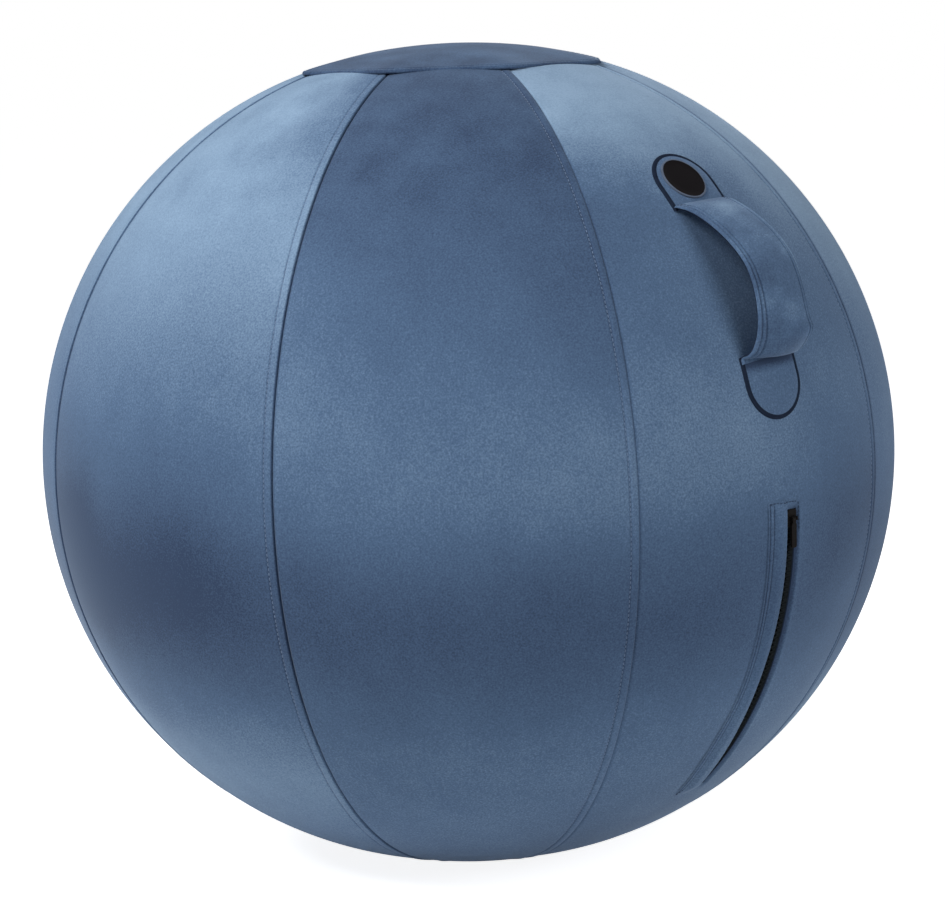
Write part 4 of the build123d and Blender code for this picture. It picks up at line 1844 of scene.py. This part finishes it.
@dataclass
class Studio:
    """A white floor, soft lights placed about the camera's line of sight, and the camera."""

    form: CoverForm
    width: int = 945
    height: int = 903
    focal_pixels: float = 3118.0
    distance: float = 2.3995
    azimuth: float = radians(-43.03)
    elevation: float = radians(8.060)
    roll: float = radians(2.281)
    centre_pixel: Pair = (468.47, 450.82)
    sensor: float = 36.0
    view_limit: float = 50.0
    floor_size: float = 60.0
    floor_colour: Triple = (0.80, 0.80, 0.80)
    floor_roughness: float = 0.9
    floor_glow: float = 0.88
    floor_light: float = 0.12
    white_from: Pair = (0.5, 1.6)
    ambient: float = 0.0
    softboxes: tuple[Softbox, ...] = (
        Softbox("left_softbox", right=-1.4, up=1.8, towards=1.2, size=1.2, power=57.0),
        Softbox("right_softbox", right=1.7, up=1.2, towards=1.6, size=1.3, power=25.0),
        Softbox("left_rim_softbox", right=-1.9, up=2.0, towards=-1.2, size=1.3, power=20.0),
        Softbox("right_rim_softbox", right=2.6, up=0.1, towards=-0.5, size=1.2, power=9.5),
    )

    def target(self) -> Vector:
        """The ball's middle, which the camera looks at."""
        return Vector((0.0, 0.0, self.form.equator))

    def axes(self) -> tuple[Vector, Vector, Vector]:
        """The camera's axes before its roll.

        Returns:
            Its level right, its up and its backward direction.
        """
        back = Vector(
            (
                sin(self.azimuth) * cos(self.elevation),
                -cos(self.azimuth) * cos(self.elevation),
                sin(self.elevation),
            )
        )
        right = Vector((0.0, 0.0, 1.0)).cross(back).normalized()
        return right, back.cross(right), back

    def add_camera(self) -> None:
        """The camera of the photograph: its lens, its roll and the ball's place in the frame."""
        right, up, back = self.axes()
        tilted_right = right * cos(self.roll) - up * sin(self.roll)
        tilted_up = up * cos(self.roll) + right * sin(self.roll)
        data = bpy.data.cameras.new("photo_camera")
        data.sensor_fit = "HORIZONTAL"
        data.sensor_width = self.sensor
        data.lens = self.focal_pixels / self.width * self.sensor
        data.shift_x = (self.width / 2 - self.centre_pixel[0]) / self.width
        data.shift_y = (self.centre_pixel[1] - self.height / 2) / self.width
        data.clip_end = self.view_limit
        camera = bpy.data.objects.new("photo_camera", data)
        turn = Matrix((tilted_right, tilted_up, back)).transposed().to_4x4()
        camera.matrix_world = Matrix.Translation(self.target() + back * self.distance) @ turn
        bpy.context.scene.collection.objects.link(camera)
        bpy.context.scene.camera = camera

    def add_lights(self) -> None:
        """Each softbox stands off the ball by the camera's own right, up and backward directions."""
        right, _, back = self.axes()
        ahead = Vector((back.x, back.y, 0.0)).normalized()
        for box in self.softboxes:
            data = bpy.data.lights.new(box.name, "AREA")
            data.shape = "SQUARE"
            data.size = box.size
            data.energy = box.power
            lamp = bpy.data.objects.new(box.name, data)
            offset = right * box.right + Vector((0.0, 0.0, box.up)) + ahead * box.towards
            lamp.location = self.target() + offset
            lamp.rotation_euler = (-offset).to_track_quat("-Z", "Y").to_euler()
            bpy.context.scene.collection.objects.link(lamp)

    def seen_directly(self, tree: bpy.types.NodeTree) -> Socket:
        """Tells rays that look at a surface from the light that it casts.

        Args:
            tree: The tree to add the nodes to.

        Returns:
            1 for rays from the camera, off gloss and through glass, and 0 for the rest.
        """
        path = tree.nodes.new("ShaderNodeLightPath")
        total = path.outputs["Is Camera Ray"]
        for kind in ("Is Glossy Ray", "Is Transmission Ray"):
            larger = tree.nodes.new("ShaderNodeMath")
            larger.operation = "MAXIMUM"
            tree.links.new(total, larger.inputs[0])
            tree.links.new(path.outputs[kind], larger.inputs[1])
            total = larger.outputs["Value"]
        return total

    def add_world(self) -> None:
        """A surround that is white where it is seen, and casts only the ambient light."""
        world = bpy.data.worlds.new("white_surround")
        world.use_nodes = True
        tree = world.node_tree
        background = tree.nodes["Background"]
        background.inputs["Color"].default_value = (1.0, 1.0, 1.0, 1.0)
        strength = tree.nodes.new("ShaderNodeMapRange")
        strength.inputs["To Min"].default_value = self.ambient
        strength.inputs["To Max"].default_value = 1.0
        tree.links.new(self.seen_directly(tree), strength.inputs["Value"])
        tree.links.new(strength.outputs["Result"], background.inputs["Strength"])
        bpy.context.scene.world = world

    def add_floor(self) -> None:
        """A white floor that is lifted towards white where it is seen, and keeps a faint shadow."""
        half = self.floor_size / 2
        corners = np.array([[-half, -half, 0.0], [half, -half, 0.0], [half, half, 0.0], [-half, half, 0.0]])
        floor = Surface(corners, [[0, 1, 2, 3]]).to_object("studio_floor", [self.floor_finish()])

    def floor_finish(self) -> bpy.types.Material:
        """White paint with a glow that is strong where it is looked at, and faint as a light.

        Returns:
            The material.
        """
        nodes = NodeWriter("studio_white")
        nodes.set(
            Base_Color=(*self.floor_colour, 1.0),
            Roughness=self.floor_roughness,
            Specular_IOR_Level=0.0,
            Emission_Color=(1.0, 1.0, 1.0, 1.0),
        )
        glow = nodes.add("ShaderNodeMapRange")
        glow.inputs["To Min"].default_value = self.floor_light
        nodes.link(self.floor_white(nodes), glow.inputs["To Max"])
        nodes.link(self.seen_directly(nodes.tree), glow.inputs["Value"])
        nodes.link(glow.outputs["Result"], nodes.shader.inputs["Emission Strength"])
        return nodes.material

    def floor_white(self, nodes: NodeWriter) -> Socket:
        """The glow that is seen: a little under white by the ball, and white from a few steps off.

        Args:
            nodes: The floor's nodes.

        Returns:
            The glow's strength.
        """
        place = nodes.add("ShaderNodeTexCoord")
        distance = nodes.add("ShaderNodeVectorMath", operation="LENGTH")
        nodes.link(place.outputs["Object"], distance.inputs[0])
        fade = nodes.add("ShaderNodeMapRange")
        fade.inputs["From Min"].default_value = self.white_from[0]
        fade.inputs["From Max"].default_value = self.white_from[1]
        fade.inputs["To Min"].default_value = self.floor_glow
        fade.inputs["To Max"].default_value = 1.0
        nodes.link(distance.outputs["Value"], fade.inputs["Value"])
        return fade.outputs["Result"]

    def build(self) -> None:
        """Sets up the floor, the surround, the lights and the camera."""
        bpy.context.scene.view_settings.view_transform = "Standard"
        self.add_floor()
        self.add_world()
        self.add_lights()
        self.add_camera()


def main() -> None:
    """Builds the part's pieces in order, then its studio."""
    logging.basicConfig(level=logging.INFO, format="%(name)s: %(message)s")
    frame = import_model()
    form, palette = CoverForm(), Palette()
    cover = Cover(form, palette)
    cover.build()
    OctagonPanel(
        form,
        palette,
        node="top_panel",
        across=241.0 * MM,
        corner=13.0 * MM,
        crown=615.6 * MM,
        fall=18.0 * MM,
        rim_fall=16.4 * MM,
        thickness=3.2 * MM,
        # Painted shade: the top panel's velvet is darkened as a whole
        nap_and_painted_light=-0.31,
    ).build()
    OctagonPanel(
        form,
        palette,
        node="base_panel",
        across=160.0 * MM,
        corner=6.0 * MM,
        crown=2.0 * MM,
        fall=0.0,
        rim_fall=0.0,
        thickness=2.0 * MM,
        nap_and_painted_light=0.0,
    ).build()
    ZipFly(form, palette, cover).build()
    CarryStrap(form, palette).build()
    PackedPieces(palette, frame["nodes"]).build()
    Studio(form).build()


if __name__ == "__main__":
    main()
